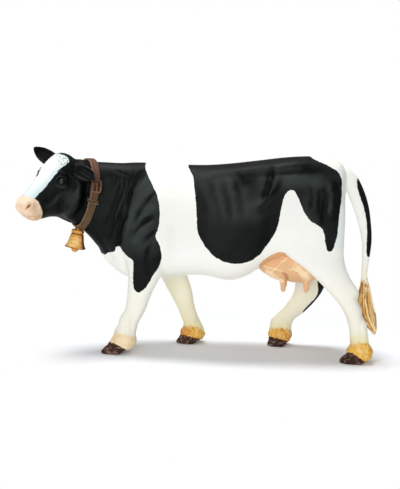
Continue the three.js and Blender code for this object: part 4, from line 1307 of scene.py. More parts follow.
# Broad masses first, then folds, as a sculptor's tool leaves them: widths and heights in millimetres
MASSES = strokes(
    Region.BODY,
    (8.0, 1.1, ((152, 175), (148, 195), (143, 225), (140, 262))),
    (2.6, -0.9, ((168, 205), (169, 228), (167, 252), (163, 280))),
    (4.5, -0.9, ((240, 176), (252, 190), (262, 205), (266, 216))),
    (2.0, 1.0, ((279, 166), (277, 180), (271, 193), (262, 203), (250, 211))),
    (7.0, 0.7, ((304, 190), (306, 205), (306, 228), (302, 245))),
    (2.6, 0.3, ((334, 163), (338, 172), (340, 184))),
    (3.4, -0.5, ((268, 212), (272, 226), (270, 240), (262, 258))),
    (2.2, 0.5, ((185, 178), (201, 176.5), (237, 170.5), (272, 168), (310, 164), (335, 163))),
    (1.6, -0.45, ((185, 183), (205, 180), (225, 176), (250, 175), (270, 174), (300, 173), (338, 172))),
    (4.0, 0.5, ((275, 181), (300, 181), (325, 184))),
) + strokes(
    Region.HEAD,
    (2.0, 0.8, ((52, 217), (64, 215), (73, 210), (78.5, 202), (80, 190), (78, 176))),
    (1.5, -1.5, ((68, 224), (77, 216), (84, 207), (86.5, 196), (86, 182), (82, 170))),
    (3.4, 0.5, ((70, 184), (71, 194), (70, 206))),
)
FOLDS = strokes(
    Region.BODY,
    (0.8, -1.0, ((147, 168), (141, 172), (136.5, 177), (133.5, 183), (131, 190), (128, 199), (125, 212))),
    (0.8, -1.25, ((128, 208), (125, 216), (121, 223), (119, 231), (118, 240), (118, 251))),
    (0.9, 0.45, ((152, 168), (146, 178), (139, 194), (133, 210), (128, 226), (125, 240))),
    (0.5, -0.55, ((133, 170), (130, 178), (128, 186), (125.5, 196), (121, 210), (118, 225))),
    (0.45, -0.5, ((129, 174), (125.5, 184), (122, 194), (118, 204), (114.5, 214), (111, 228))),
    (0.45, -0.4, ((122, 178), (118.5, 189), (116, 199), (113, 209), (110, 221))),
    (0.5, 0.3, ((127.5, 180), (124, 192), (120, 203), (116.5, 213), (113, 226))),
    (0.5, 0.3, ((131, 180), (127.5, 192), (123, 206), (119.5, 219))),
    (0.5, -0.35, ((127, 170), (125, 178), (122.5, 188))),
    (0.5, -0.26, ((120.5, 170.5), (119.8, 176), (118.5, 183))),
    (0.5, -0.26, ((116.4, 172), (115.8, 178), (115, 186))),
    (0.5, -0.2, ((110.5, 171), (111.3, 177), (112.3, 184))),
    (0.4, -0.14, ((113, 170.5), (118, 171.8), (124, 173.6), (132, 178))),
    (0.4, -0.35, ((120, 210), (116, 220), (112, 230), (109, 240))),
    (0.4, -0.3, ((113, 206), (108, 217), (104, 227))),
    (1.1, -0.75, ((158, 190), (150, 196), (143.5, 204), (138, 214), (134, 225))),
    (0.9, 0.5, ((157, 206), (150, 209.5), (142, 215), (135, 222))),
    (1.0, -0.55, ((156, 214), (146, 219.5), (138, 227), (131, 237))),
    (0.9, 0.45, ((153, 220), (144, 228), (137, 236), (132, 244))),
    (0.9, -0.4, ((156, 229), (148, 236), (141, 245))),
    (0.9, -0.35, ((151, 240), (147, 252), (146, 264), (149, 278))),
    (1.7, -0.2, ((208, 178), (213, 194), (219, 212), (222, 228))),
    (1.7, 0.18, ((214, 178), (219, 194), (223, 208), (226, 224))),
    (1.7, -0.22, ((222, 178), (226, 194), (229, 210), (230, 226))),
    (1.7, 0.2, ((227, 177), (231, 192), (234, 206), (235, 222))),
    (1.6, -0.22, ((234, 178), (238, 192), (240, 206), (240, 221))),
    (1.5, 0.2, ((239, 180), (243, 192), (247, 205), (249, 216))),
    (1.7, -0.15, ((198, 186), (203, 200), (208, 216))),
    (1.15, -1.0, ((272.5, 167), (270.8, 174), (269.5, 181), (267.5, 188), (262, 203))),
    (1.0, -0.3, ((236, 172.5), (240, 176.5), (243.5, 181), (249, 188))),
    (0.9, -0.5, ((283, 178), (278, 187), (273, 194), (265, 203), (256, 210))),
    (0.8, -0.4, ((320, 188), (320.3, 200), (318, 216))),
    (1.2, -0.4, ((324, 180), (326, 196), (324, 212), (321, 230))),
    (1.1, 0.4, ((329, 182), (331, 198), (329, 218))),
    (1.0, -0.4, ((334, 178), (336.5, 196), (335, 222))),
    (0.8, -0.25, ((310, 182), (312, 196), (310, 212))),
    (0.9, -0.4, ((96, 232), (106, 248), (118, 266))),
    (0.8, -0.35, ((118, 250), (124, 262), (128, 276), (130, 290))),
    (0.7, -0.3, ((108, 256), (112, 266), (120, 276))),
) + strokes(
    Region.HEAD,
    (0.5, 0.3, ((55.5, 184), (57.5, 178.8), (61, 176.8), (65, 178.2), (68, 183))),
    (0.45, -0.5, ((55, 184.5), (57.5, 180.2), (61.2, 178.4), (65, 180), (68.5, 184))),
    (0.5, 0.3, ((55, 183), (58.5, 186.2), (62, 187.2), (68, 184.6))),
    (0.35, -0.35, ((52.5, 183), (55.5, 176.5), (60.5, 173.8), (66, 175), (71, 180))),
    (0.35, 0.22, ((50.5, 182), (54.5, 174.6), (60.5, 171.8), (66.5, 172.8), (71, 176))),
    (0.35, -0.3, ((49.5, 179), (54.5, 172.4), (60.5, 169.8), (68, 170.6))),
    (0.35, -0.3, ((54, 187), (59, 189.6), (64, 190.2), (70, 187))),
    (1.8, -0.8, ((82, 218), (86, 205), (88, 192), (88, 178), (86, 164))),
    (0.7, -0.8, ((68, 171), (70, 179), (69.6, 186), (67, 194))),
    (0.8, -0.6, ((72, 166), (75, 176), (74.5, 186), (72, 196))),
    (0.9, -0.3, ((61, 189), (52, 197), (42, 205))),
    (0.8, 0.3, ((63, 192), (54, 201), (44, 209))),
    (0.7, -0.35, ((62, 197), (60, 207), (61, 218))),
    (0.5, -0.45, ((12, 213.5), (20, 215.6), (28, 217.4), (36, 217), (46, 212))),
    (1.0, 0.15, ((19, 204), (23, 199.6), (29, 198.4), (36, 202))),
    (0.8, 0.3, ((21.5, 209), (24, 204.2), (29, 202), (33.5, 204), (33.6, 208.6))),
    (0.5, -0.95, ((22, 210), (25, 208.6), (27.6, 206.4), (30.5, 203.4), (32, 201.4))),
    (0.6, -0.12, ((33.5, 200), (36.6, 206), (37.6, 213))),
) + strokes(
    Region.LEGS,
    (2.4, -1.3, ((105, 347), (108.5, 341), (111.5, 335.5), (116, 328))),
    (2.0, 0.7, ((124, 308), (120.5, 317), (117.5, 325))),
    (2.0, -0.7, ((342, 356), (345.5, 350), (348, 344), (349, 338))),
    (2.0, -0.6, ((177, 338), (179, 332), (182, 326), (183, 320))),
    (2.6, -1.2, ((359, 292), (363, 302), (366, 313), (367, 324))),
    (0.6, -0.35, ((133.5, 306), (131.5, 318), (131, 333))),
    (0.6, -0.35, ((361, 318), (360, 330), (361, 342))),
    (0.6, -0.3, ((197, 302), (197.5, 314), (197, 326))),
)


def sculpted(shell: Shell, marks: tuple[Stroke, ...]) -> np.ndarray:
    """Raises and sinks a skin along strokes.

    Args:
        shell: The skin, whose places are moved.
        marks: The strokes.

    Returns:
        How high the strokes stand at each place, in millimetres.
    """
    places, normals = shell.places, shell.normals
    along, aside, out = HEAD.shares(places)
    head = coat_parts(places)["head"]
    low = lowness(places, 34.0, 28.0)
    outward = normals[:, 1] * np.sign(places[:, 1])
    folded_normal = np.where(aside > 0, normals @ HEAD.left, -(normals @ HEAD.left))
    pixels = {
        Region.BODY: PICTURE.pixels(folded(places)),
        Region.HEAD: PICTURE.pixels(HEAD.place(along, np.abs(aside), out)),
        Region.LEGS: PICTURE.pixels(places),
    }
    weights = {
        Region.BODY: np.where(head, 0.0, smooth_share(outward, -0.1, 0.35) * (1 - low)),
        Region.HEAD: np.where(head, smooth_share(folded_normal, 0.0, 0.3), 0.0),
        Region.LEGS: low,
    }
    total = np.zeros(len(places))
    for stroke in marks:
        total += weights[stroke.region] * stroke.heights(pixels[stroke.region])
    shell.places = places + normals * total[:, None]
    return total


@dataclass(frozen=True)
class Foot:
    """A foot: its middle, and the picture's lines where its fringe and its hoof start."""

    place: Triple
    fringe: Outline
    hoof: Outline
    bulge: float = 0.75
    reach: float = 9.0
    height: float = 14.0
    heel_tuck: float = 1.9
    sole_lift: float = 1.1
    toe_point: float = 0.5
    cleft_width: float = 0.55
    cleft_depth: float = 0.9
    heel_span: Pair = (0.5, 6.0)
    heel_height: Pair = (-1.0, 6.5)
    sole_height: Pair = (0.0, 3.0)
    toe_span: Pair = (2.5, 5.5)
    toe_height: Pair = (0.0, 2.6)

    def depths(self, places: np.ndarray) -> tuple[np.ndarray, np.ndarray]:
        """Measures how far places lie below the fringe's and the hoof's upper lines.

        Args:
            places: The design places.

        Returns:
            Both depths, in millimetres.
        """
        mirrored = places.copy()
        mirrored[:, 1] = self.place[1] - np.abs(places[:, 1] - self.place[1])
        across, down = PICTURE.pixels(mirrored).T
        fringe, hoof = (np.interp(across, *np.array(line).T) for line in (self.fringe, self.hoof))
        return (down - fringe) / PIXELS_PER_MM, (down - hoof) / PIXELS_PER_MM

    def holds(self, places: np.ndarray) -> np.ndarray:
        """Returns which design places are the foot's."""
        apart = places - self.place
        return (np.hypot(apart[:, 0], apart[:, 1]) < self.reach) & (places[:, 2] < self.height)

    def strand(self, places: np.ndarray, angle: np.ndarray) -> np.ndarray:
        """Returns the waves of the fringe's hair, from numbers that only have to be unlike."""
        wave = np.sin(angle * 17 + 2 * np.sin(angle * 5)) * 0.6 + np.sin(angle * 29 + 1.3) * 0.4
        return wave + 0.5 * np.sin(places[:, 2] * 1.9 + angle * 6)

    def shape(self, places: np.ndarray) -> np.ndarray:
        """Shapes a ragged fringe, a lifted heel and split toes.

        Args:
            places: The foot's design places.

        Returns:
            Where they are moved to.
        """
        apart = places - self.place
        back = smooth_share(apart[:, 0], *self.heel_span)
        low, sole, toe = (1 - smooth_share(places[:, 2], *span)
                          for span in (self.heel_height, self.sole_height, self.toe_height))
        moved = places + directions(-self.heel_tuck * back * low, 0, self.sole_lift * back * sole)
        moved[:, 0] -= self.toe_point * (smooth_share(-apart[:, 0], *self.toe_span) * toe)
        fringe, hoof = self.depths(moved)
        angle = np.arctan2(apart[:, 1], apart[:, 0])
        strand = self.strand(moved, angle)
        ragged = 0.35 * np.sin(angle * 9 + 0.7) + 0.3 * strand
        skirt = smooth_share(-hoof + ragged, -0.3, 0.15) * smooth_share(fringe + ragged, -0.4, 1.8)
        raised = skirt * (self.bulge * (0.35 + 0.45 * back) + 0.2 * strand)
        cleft = np.exp(-((apart[:, 1] / self.cleft_width) ** 2)) * smooth_share(-apart[:, 0], 1.0, 3.0)
        raised -= self.cleft_depth * cleft * smooth_share(hoof, -0.2, 0.4)
        return moved + unit(apart * (1, 1, 0)) * raised[:, None]


@dataclass(frozen=True)
class Leg:
    """A leg: its form, its seam with the trunk, its foot and how it is painted."""

    rows: Table
    shank: Pair
    seam: Triple
    foot: Foot
    cream: Pair
    tones: Outline
    bare_below: float = -math.inf
    spot: Outline = ()
    tilt: float = 35.0
    knee: float = 24.0
    fillet: float = 0.8

    def holds(self, places: np.ndarray) -> np.ndarray:
        """Tests which places are the leg's: round its own column and below its seam.

        Args:
            places: The design places.

        Returns:
            Whether each is the leg's.
        """
        way = math.copysign(1.0, self.seam[1])
        height, along, side, deep, wide = np.array(self.rows).T
        share = places[:, 2] / POLL_HEIGHT
        ahead = np.abs(places[:, 0] - np.interp(share, height, along) * BODY_LENGTH)
        aside = np.abs(places[:, 1] - np.interp(share, height, side) * BARREL_WIDTH)
        half = np.interp(share, height, deep) * self.shank[0] / 2 + self.fillet
        reach = np.interp(share, height, wide) * self.shank[1] / 2 + self.fillet
        column = (ahead / half) ** LIMB_POWER + (aside / reach) ** LIMB_POWER < 1
        same_end = (places[:, 0] > 0) == (along[0] > 0)
        foot = same_end & (places[:, 1] * way > 0) & (places[:, 2] < self.knee)
        tilt = math.radians(self.tilt)
        normal = np.array((0, -way * math.sin(tilt), math.cos(tilt)))
        return ((places - body_place(*self.seam)) @ normal < 0) & (column | foot)


# The legs' cream is that of the column, partly painted shade on the far legs under the belly, and of the
# ankle, and their tones run across the picture
LEGS = {
    "leg_front_left": Leg(
        FORE_LEFT, FORE_SHANK, (-0.36, -0.25, 0.425),
        Foot((-47.0, -11.0, 0.0),
             ((100, 339.5), (109, 336.5), (115.4, 333), (121, 333.6), (127.5, 334.7), (133, 337),
              (140, 341)),
             ((100, 343), (109.2, 342.2), (113.3, 343), (119.2, 346), (126.7, 350), (131, 352.6),
              (140, 354))),
        (0.0, 0.08), ((106, 0.12), (124, -0.05), (134, -0.3))),
    "leg_front_right": Leg(
        FORE_RIGHT, FORE_SHANK, (-0.315, 0.25, 0.425),
        Foot((-20.7, 11.0, 0.0),
             ((174, 331), (182, 328), (183.8, 326.8), (190, 326.2), (197.2, 327.2), (202.2, 330.5),
              (208, 335)),
             ((174, 334.6), (180.5, 335), (183.8, 335), (190.5, 336.8), (198.8, 338.8), (202.5, 340.6),
              (208, 341.6))),
        (0.4, 0.35), ((182, 1.0), (189, 0.85), (195, 0.45), (203, 0.6)), bare_below=24.0),
    "leg_rear_left": Leg(
        HIND_LEFT, HIND_SHANK, (0.325, -0.25, 0.5),
        Foot((48.0, -12.0, 0.0),
             ((338, 349), (348, 345.5), (350.5, 343.8), (358.8, 342.6), (367.2, 343.8), (371.5, 347),
              (378, 352)),
             ((338, 351.2), (346.3, 351.8), (352.2, 353), (357.2, 356.3), (362.2, 360), (366, 362.4),
              (378, 364))),
        (0.1, 0.7), ((346, 0.45), (358, 0.35), (366, 0.5), (373, 0.8))),
    "leg_rear_right": Leg(
        HIND_RIGHT, HIND_SHANK, (0.3, 0.25, 0.5),
        Foot((17.1, 12.0, 0.0),
             ((262, 332), (268.8, 330), (269.7, 328.8), (279, 328.3), (288.8, 329.7), (291, 332),
              (298, 337)),
             ((262, 336.4), (269.7, 336.5), (278, 338.4), (286.3, 340.9), (290, 342.4), (298, 344)), 0.1),
        (0.22, 0.4), ((268, 0.5), (276, 0.72), (284, 0.7), (292, 0.85)), bare_below=26.0, spot=HOCK_PATCH),
}


@dataclass
class CoatSkin:
    """The moulded skin of the trunk, neck, head and legs, in one run, before it is parted at the seams."""

    voxel: float = 0.42
    sides: int = 96
    throat_sides: int = 32
    steps: int = 8
    tail_rows: int = 4
    tail_blend: float = 0.95
    ankle: Pair = (9.0, 16.0)
    melt_rounds: int = 16
    mass_rounds: int = 6
    fold_rounds: int = 1
    relief: np.ndarray = field(default_factory=lambda: np.zeros(0))

    def forms(self) -> bmesh.types.BMesh:
        """Returns the overlapping forms that melt into the skin."""
        bm = bmesh.new()
        shapes = Shapes(self.steps)
        for form in (shapes.trunk(), shapes.neck(), shapes.head()):
            form.build(bm, self.sides)
        tail = part_of(shapes.tail(), 0, self.tail_rows * self.steps, self.tail_blend)
        tail.build(bm, self.sides // 2)
        shapes.throat().build(bm, self.throat_sides)
        for leg in LEGS.values():
            shapes.leg(leg.rows, leg.shank).build(bm, self.sides // 2)
        return bm

    def build(self) -> Shell:
        """Returns the finished skin, and keeps how high its strokes stand."""
        shell = Shell.remeshed(self.forms(), self.voxel)
        high = smooth_share(shell.places[:, 2], *self.ankle)
        shell.relax(self.melt_rounds, 0.25 + 0.75 * high)
        masses = sculpted(shell, MASSES)
        shell.relax(self.mass_rounds, high)
        self.relief = sculpted(shell, FOLDS) + 0.4 * masses
        shell.relax(self.fold_rounds, 0.6 * high)
        for leg in LEGS.values():
            near = leg.foot.holds(shell.places)
            shell.places[near] = leg.foot.shape(shell.places[near])
        log.info("coat skin: %d places", len(shell.places))
        return shell


def coat_parts(places: np.ndarray) -> dict[str, np.ndarray]:
    """Parts the coat at its seams.

    Args:
        places: Design places on the coat.

    Returns:
        Which of them belong to each moulding.
    """
    collar, forward, *_ = collar_plane()
    head = (places - collar) @ forward > 0
    parts = {"head": head}
    for name, leg in LEGS.items():
        parts[name] = leg.holds(places) & ~head
    parts["torso"] = ~np.any(list(parts.values()), axis=0)
    return parts


# How far up the head's back the paint is all black, how much narrower its far side is painted, and how
# far out the legs' inner faces stay white, in millimetres
NAPE = -0.2
FAR_BLAZE = 0.65
INNER_FACE = 7.0


def all_numbers(count: int, known: Numbers) -> Numbers:
    """Fills up the coat paint's numbers.

    Args:
        count: How many places there are.
        known: The numbers that are known.

    Returns:
        The known numbers, and for the rest what leaves no mark.
    """
    never, none = np.full(count, NEVER), np.zeros(count)
    unmarked = {"patch": never, "bag": never, "pink": never, "hoof": never, "fringe": never, "cream": none,
                "cool": none, "relief": none, "stipple": never, "tone": none}
    return unmarked | known


@dataclass
class Markings:
    """How a moulding of the coat is painted: the numbers at its places that the coat's paint reads."""

    part: str
    places: np.ndarray
    relief: np.ndarray

    @cached_property
    def flank(self) -> np.ndarray:
        """Returns the places' pixels, with the far side brought over to the near side."""
        return PICTURE.pixels(folded(self.places))

    def body(self) -> Numbers:
        """Returns what torso and legs share: the patches, the cream low down and the cool painted shade at
        the rump's edge.
        """
        near, far = (np.maximum(*(outline_depth(self.flank, patch) for patch in side))
                     for side in (NEAR_PATCHES, FAR_PATCHES))
        return {"patch": np.where(self.places[:, 1] > 0, far, near),
                "cream": 0.1 + 0.16 * lowness(self.places, 45.0, 12.0),
                "cool": 0.28 * line_share(self.flank, RUMP_SHADE_LINE, 2.2)}

    def torso(self) -> Numbers:
        """Returns the torso's numbers."""
        relief = self.relief
        # Lines of painted highlight, partly dry-brushing, and of painted shade on the lit top are added to
        # the relief
        for line, width, lift in BRUSHED_HIGHLIGHT_AND_SHADE:
            relief = relief + lift * line_share(self.flank, line, width)
        return self.body() | {"bag": outline_depth(self.flank, BAG_PATCH), "relief": relief}

    def head(self) -> Numbers:
        """Returns the head's numbers."""
        along, aside, out = HEAD.shares(self.places)
        over = PICTURE.pixels(HEAD.place(along, np.where(aside < 0, -FAR_BLAZE * aside, aside), out))
        inside = outline_depth(over, BLAZE)
        patch = np.where(along < NAPE, 5.0, -inside + 6 * smooth_share(-out, 0.55, 0.75))
        brow = outline_depth(PICTURE.pixels(self.places), BROW_SLIVER)
        patch = np.where(aside < 0, np.maximum(patch, brow), patch)
        # Cool painted shade along the blaze's edge and on the lower face
        cool = 0.6 * np.exp(-((inside - 0.2) / 2.0) ** 2) + 0.35 * smooth_share(along, 0.4, 0.8)
        face = PICTURE.pixels(HEAD.place(along, np.abs(aside), out))
        # Painted shade round the nostril and on the lower muzzle, and a painted shadow between jaw and
        # collar in the relief
        tone = 0.9 * np.exp(-((np.hypot(*(face - NOSTRIL_SHADE).T) / 5.5) ** 2))
        return {"patch": patch, "pink": outline_depth(face, MUZZLE),
                "cool": np.clip(cool, 0, 1) * (along > NAPE),
                "relief": self.relief - 1.3 * line_share(face, JAW_SHADE, 1.9),
                "stipple": np.minimum(outline_depth(over, POLL_DOTS), 0.7),
                "tone": tone + 0.9 * smooth_share(face[:, 1], 207, 219)}

    def leg(self) -> Numbers:
        """Returns a leg's numbers."""
        leg, places, numbers = LEGS[self.part], self.places, self.body()
        fringe, hoof = leg.foot.depths(places)
        column, ankle = leg.cream
        # The column's cream is partly painted shade, strongest on the far legs under the belly
        cream = numbers["cream"] + column * lowness(places, 36.0, 22.0)
        pixels = PICTURE.pixels(places)
        patch = np.minimum(numbers["patch"], np.abs(places[:, 1]) - INNER_FACE)
        patch = np.where(places[:, 2] < leg.bare_below, NEVER, patch)
        if leg.spot:
            patch = np.maximum(patch, outline_depth(pixels, leg.spot))
        return numbers | {"patch": patch, "hoof": hoof, "fringe": fringe, "relief": self.relief,
                          "cream": cream + ankle * smooth_share(fringe, -5.0, 0.0),
                          "tone": np.interp(pixels[:, 0], *np.array(leg.tones).T)}

    def numbers(self) -> Numbers:
        """Returns all the moulding's numbers."""
        painted = {"head": self.head, "torso": self.torso}.get(self.part, self.leg)
        return all_numbers(len(self.places), painted())


def mesh_places(mesh: bpy.types.Mesh) -> np.ndarray:
    """Reads a mesh's places.

    Args:
        mesh: The mesh, in the frame's metres.

    Returns:
        Its places in design millimetres.
    """
    places = np.zeros(len(mesh.vertices) * 3)
    mesh.vertices.foreach_get("co", places)
    return to_design(places.reshape(-1, 3))


# How far a moulding's open rim turns inward, in millimetres
RIM_DEPTH = 1.0


def closed(mesh: bpy.types.Mesh) -> None:
    """Closes the open rims of a mesh, smooths its shading and keeps the rims crisp.

    Args:
        mesh: The mesh, which is changed.
    """
    bm = bmesh.new()
    bm.from_mesh(mesh)
    bm.normal_update()
    for face in bm.faces:
        face.smooth = True
    rims = [edge for edge in bm.edges if edge.is_boundary]
    for edge in rims:
        edge.smooth = False
    if rims:
        sunk = bmesh.ops.extrude_edge_only(bm, edges=rims)["geom"]
        edges = [part for part in sunk if isinstance(part, bmesh.types.BMEdge) and part.is_boundary]
        for corner in (part for part in sunk if isinstance(part, bmesh.types.BMVert)):
            wall = next(edge for edge in corner.link_edges if not edge.is_boundary)
            corner.co -= wall.other_vert(corner).normal * RIM_DEPTH * MM
        bmesh.ops.holes_fill(bm, edges=edges, sides=0)
    bm.to_mesh(mesh)
    bm.free()


def show(mesh: bpy.types.Mesh, numbers: Numbers, material: bpy.types.Material, slot: str,
         *nodes: str) -> None:
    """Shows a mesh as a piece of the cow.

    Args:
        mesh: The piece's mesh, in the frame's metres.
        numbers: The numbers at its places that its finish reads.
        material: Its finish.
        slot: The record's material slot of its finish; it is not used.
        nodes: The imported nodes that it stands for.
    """
    for name, values in numbers.items():
        attribute = mesh.attributes.new(name, "FLOAT", "POINT")
        attribute.data.foreach_set("value", values.astype(np.float32))
    piece = in_scene(mesh.name, mesh)
    mesh.materials.clear()
    mesh.materials.append(material)
    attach(piece, ROOT)
    if nodes:
        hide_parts(*nodes)
    log.info("%s: %d faces", mesh.name, len(mesh.polygons))


@dataclass
class Coat:
    """The mouldings of the coat: torso, head and legs."""

    paint: CoatPaint = field(default_factory=CoatPaint)

    def build(self) -> None:
        """Builds the skin, parts it at the seams and paints each moulding."""
        skin = CoatSkin()
        shell = skin.build()
        middles = shell.places[shell.quads].mean(axis=1)
        material = self.paint.material()
        for part, keep in coat_parts(middles).items():
            mesh = shell.to_mesh("coat_" + part, keep)
            closed(mesh)
            relief = np.zeros(len(mesh.vertices))
            used = np.unique(shell.quads[keep])
            relief[:len(used)] = skin.relief[used]
            numbers = Markings(part, mesh_places(mesh), relief).numbers()
            show(mesh, numbers, material, "coat", part)


def bm_mesh(bm: bmesh.types.BMesh, name: str) -> bpy.types.Mesh:
    """Makes a mesh with smooth faces, and frees what it is made from.

    Args:
        bm: What it is made from.
        name: The mesh's name.

    Returns:
        The mesh.
    """
    for face in bm.faces:
        face.smooth = True
    mesh = bpy.data.meshes.new(name)
    bm.to_mesh(mesh)
    bm.free()
    return mesh


def form_mesh(name: str, forms: list[tuple[Form, int]]) -> bpy.types.Mesh:
    """Makes one smooth mesh of closed forms.

    Args:
        name: The mesh's name.
        forms: The forms, each with its number of sides.

    Returns:
        The mesh.
    """
    bm = bmesh.new()
    for form, sides in forms:
        form.build(bm, sides)
    return bm_mesh(bm, name)

TAIL_STRIPE: Outline = (
    (357, 177.8), (357, 188), (361.6, 201.2), (366.2, 215.5), (367.2, 231.8), (366.2, 252.2),
    (367.8, 257.9), (375, 252), (378, 231), (377, 215), (371, 196), (361, 176),
)

# Turns and depths by these shares never line up, as leaves round a stem, and a phase is up to one turn
GOLDEN_TURN = 2.39996
GOLDEN_SHARE = 0.618
FULL_TURN = 6.28


@dataclass
class Tail:
    """The hanging tail with its tuft of strands."""

    steps: int = 12
    overlap: int = 3
    sides: int = 40
    seed: int = 7
    strand_count: int = 130
    strand_width: float = 0.52
    strand_steps: int = 22
    strand_sides: int = 8
    core_share: float = 0.74
    core_sides: int = 24
    tuft_shift: Triple = (-1.0, -1.4, 0.9)
    paint: CoatPaint = field(default_factory=CoatPaint)
    tuft_paint: PlainPaint = PlainPaint("tuft_gold", srgb(240, 192, 104), srgb(255, 238, 198),
                                        srgb(158, 100, 44), 0.55, grain=2.5)

    def build(self) -> None:
        """Builds the tail's skin and the strands of its tuft."""
        first = len(TAIL_ROWS) * self.steps + self.overlap
        whole = Shapes(self.steps).tail()
        mesh = form_mesh("tail_dock", [(part_of(whole, 0, first), self.sides)])
        places = mesh_places(mesh)
        numbers = {"patch": outline_depth(PICTURE.pixels(places), TAIL_STRIPE),
                   "cream": 0.1 + 0.35 * lowness(places, 42.0, 30.0)}
        show(mesh, all_numbers(len(places), numbers), self.paint.material(), "coat", "tail")
        self.build_tuft(whole, first)

    def build_tuft(self, whole: Form, first: int) -> None:
        """Builds the tuft: wavy strands laid round the tail's last rows.

        Args:
            whole: The whole tail.
            first: The row where the tuft starts.
        """
        last = len(whole.half) - 1
        random = np.random.default_rng(self.seed)
        forms, tones = [], []
        for index in range(self.strand_count):
            strand = self.strand(whole, first, index, random)
            forms.append((strand, self.strand_sides))
            tones += [2.6 * random.random() - 1.1] * (len(strand.half) * self.strand_sides)
        core = part_of(whole, first, last + 1, self.core_share)
        core.centre = core.centre + self.tuft_lean(np.arange(first, last + 1), first, last)
        mesh = form_mesh("tail_tuft", [*forms, (core, self.core_sides)])
        tones += [-1.0] * (len(mesh.vertices) - len(tones))
        show(mesh, {"tone": np.array(tones)}, self.tuft_paint.material(), "coat")

    def strand(self, whole: Form, first: int, index: int, random: np.random.Generator) -> Form:
        """Shapes one strand, which starts near the tuft's top and ends near its point.

        Args:
            whole: The whole tail.
            first: The row where the tuft starts.
            index: The strand's number.
            random: The source of its small differences.

        Returns:
            The strand.
        """
        last, steps = len(whole.half) - 1, self.strand_steps
        start = first - 10 + 14 * random.random() ** 2
        end = last - 34 * random.random() ** 2
        row = np.linspace(start, end, steps)
        phase = FULL_TURN * random.random()
        angle = index * GOLDEN_TURN + 0.2 * np.sin(np.linspace(0, 4, steps) + phase)
        depth = 0.7 + 0.34 * ((index * GOLDEN_SHARE) % 1.0)
        depth = depth + 0.1 * np.sin(np.linspace(0, 9, steps) + 2 * phase)
        centre = self.along_tuft(whole, row, angle, depth) + self.tuft_lean(row, first, last)
        taper = np.sin(np.linspace(0.25, 3.05, steps)) ** 0.7
        half = self.strand_width / 2 * taper * (0.7 + 0.5 * random.random())
        forward = unit(np.gradient(centre, axis=0))
        across = unit(np.cross(forward, FARWARD))
        return form_of(centre, across, np.cross(across, forward), half, half)

    def tuft_lean(self, row: np.ndarray, first: int, last: int) -> np.ndarray:
        """Bends the tuft aside, to behind the near hind leg.

        Args:
            row: Rows of the tail.
            first: The tuft's first row.
            last: Its last row.

        Returns:
            How far each row is moved, in design millimetres.
        """
        lean = smooth_share(row, first - 12, first + 26)
        back = 1 - 0.9 * smooth_share(row, first + 24, last)
        x, y, z = self.tuft_shift
        return directions(x * lean * back, y * lean, z * lean)

    def along_tuft(self, whole: Form, row: np.ndarray, angle: np.ndarray, depth: np.ndarray) -> np.ndarray:
        """Finds places in the tuft.

        Args:
            whole: The whole tail.
            row: Its rows, which can lie between two.
            angle: The turns round it.
            depth: The shares of the way out from its middle.

        Returns:
            The design places.
        """
        low = np.floor(row).astype(int)
        high = np.minimum(low + 1, len(whole.half) - 1)
        share = (row - low)[:, None]
        centre = whole.centre[low] * (1 - share) + whole.centre[high] * share
        rim = whole.ring_places(low, angle) * (1 - share) + whole.ring_places(high, angle) * share
        return centre + (rim - centre) * depth[:, None]


TEAT_PLACES = ((0.395, -0.25), (0.395, 0.25), (0.73, -0.25), (0.73, 0.25))
TEAT_ROWS: Table = (
    (-3.5, 1.5), (-1.2, 1.55), (0, 1.35), (1.5, 1.18), (3, 1.16), (4.1, 1.05), (4.7, 0.78), (5, 0.35),
)
VEINS = strokes(
    Region.BODY,
    (0.26, 0.3, ((290, 255), (286, 259), (281, 263), (277, 267), (274.5, 271))),
    (0.26, 0.3, ((258, 264), (265, 266), (271, 268.5), (277, 269), (284, 272), (289, 278))),
    (0.22, 0.22, ((279, 269), (283.5, 266.5), (290, 269), (296, 269.5))),
    (0.22, 0.2, ((276, 267), (272, 272), (270, 278))),
    (0.24, 0.2, ((288, 271), (292, 268), (297, 271), (303, 277))),
    (0.22, 0.18, ((296, 266), (302, 270), (308, 277))),
    (0.22, 0.18, ((287, 260), (283, 257), (279, 257))),
    (0.22, 0.18, ((288, 262), (284, 261), (280, 259))),
    (1.2, 0.35, ((262, 268), (271, 275), (280, 281), (288, 283))),
    (1.6, 0.22, ((292, 262), (299, 268), (306, 276), (312, 282))),
    (0.8, -0.3, ((281, 270), (286, 276), (289, 286))),
)


@dataclass
class Udder:
    """The udder's bag with four teats and raised veins."""

    voxel: float = 0.3
    steps: int = 12
    sides: int = 72
    teat_sides: int = 24
    teat_root: float = -0.47
    rounds: int = 8
    paint: PlainPaint = PlainPaint("udder_paint", srgb(234, 186, 138), srgb(255, 226, 184),
                                   srgb(206, 144, 100), 0.5, grain=1.8, gleam=0.2)

    def build(self) -> None:
        """Builds the udder."""
        bm = bmesh.new()
        Shapes(self.steps).udder().build(bm, self.sides)
        down, wide = np.array(TEAT_ROWS).T
        for share, apart in TEAT_PLACES:
            root = directions(share * UDDER_LENGTH, apart * UDDER_WIDTH, self.teat_root * UDDER_DEPTH)
            centre = body_place(*UDDER_PLACE) + root - directions(0, 0, down)
            form_of(centre, TAILWARD, FARWARD, wide, wide).build(bm, self.teat_sides)
        shell = Shell.remeshed(bm, self.voxel)
        shell.relax(self.rounds)
        pixels = PICTURE.pixels(folded(shell.places))
        height = sum(vein.heights(pixels) for vein in VEINS)
        shell.places += shell.normals * height[:, None]
        mesh = shell.to_mesh("udder_bag")
        closed(mesh)
        # Painted highlight on the raised veins, painted shade in the sunk crease, and lighter toward the
        # bottom
        tone = np.clip(height, -0.3, 1) * 3.2 + 0.5 * lowness(shell.places, 27.0, 20.0)
        show(mesh, {"tone": tone}, self.paint.material(), "udder", "udder")


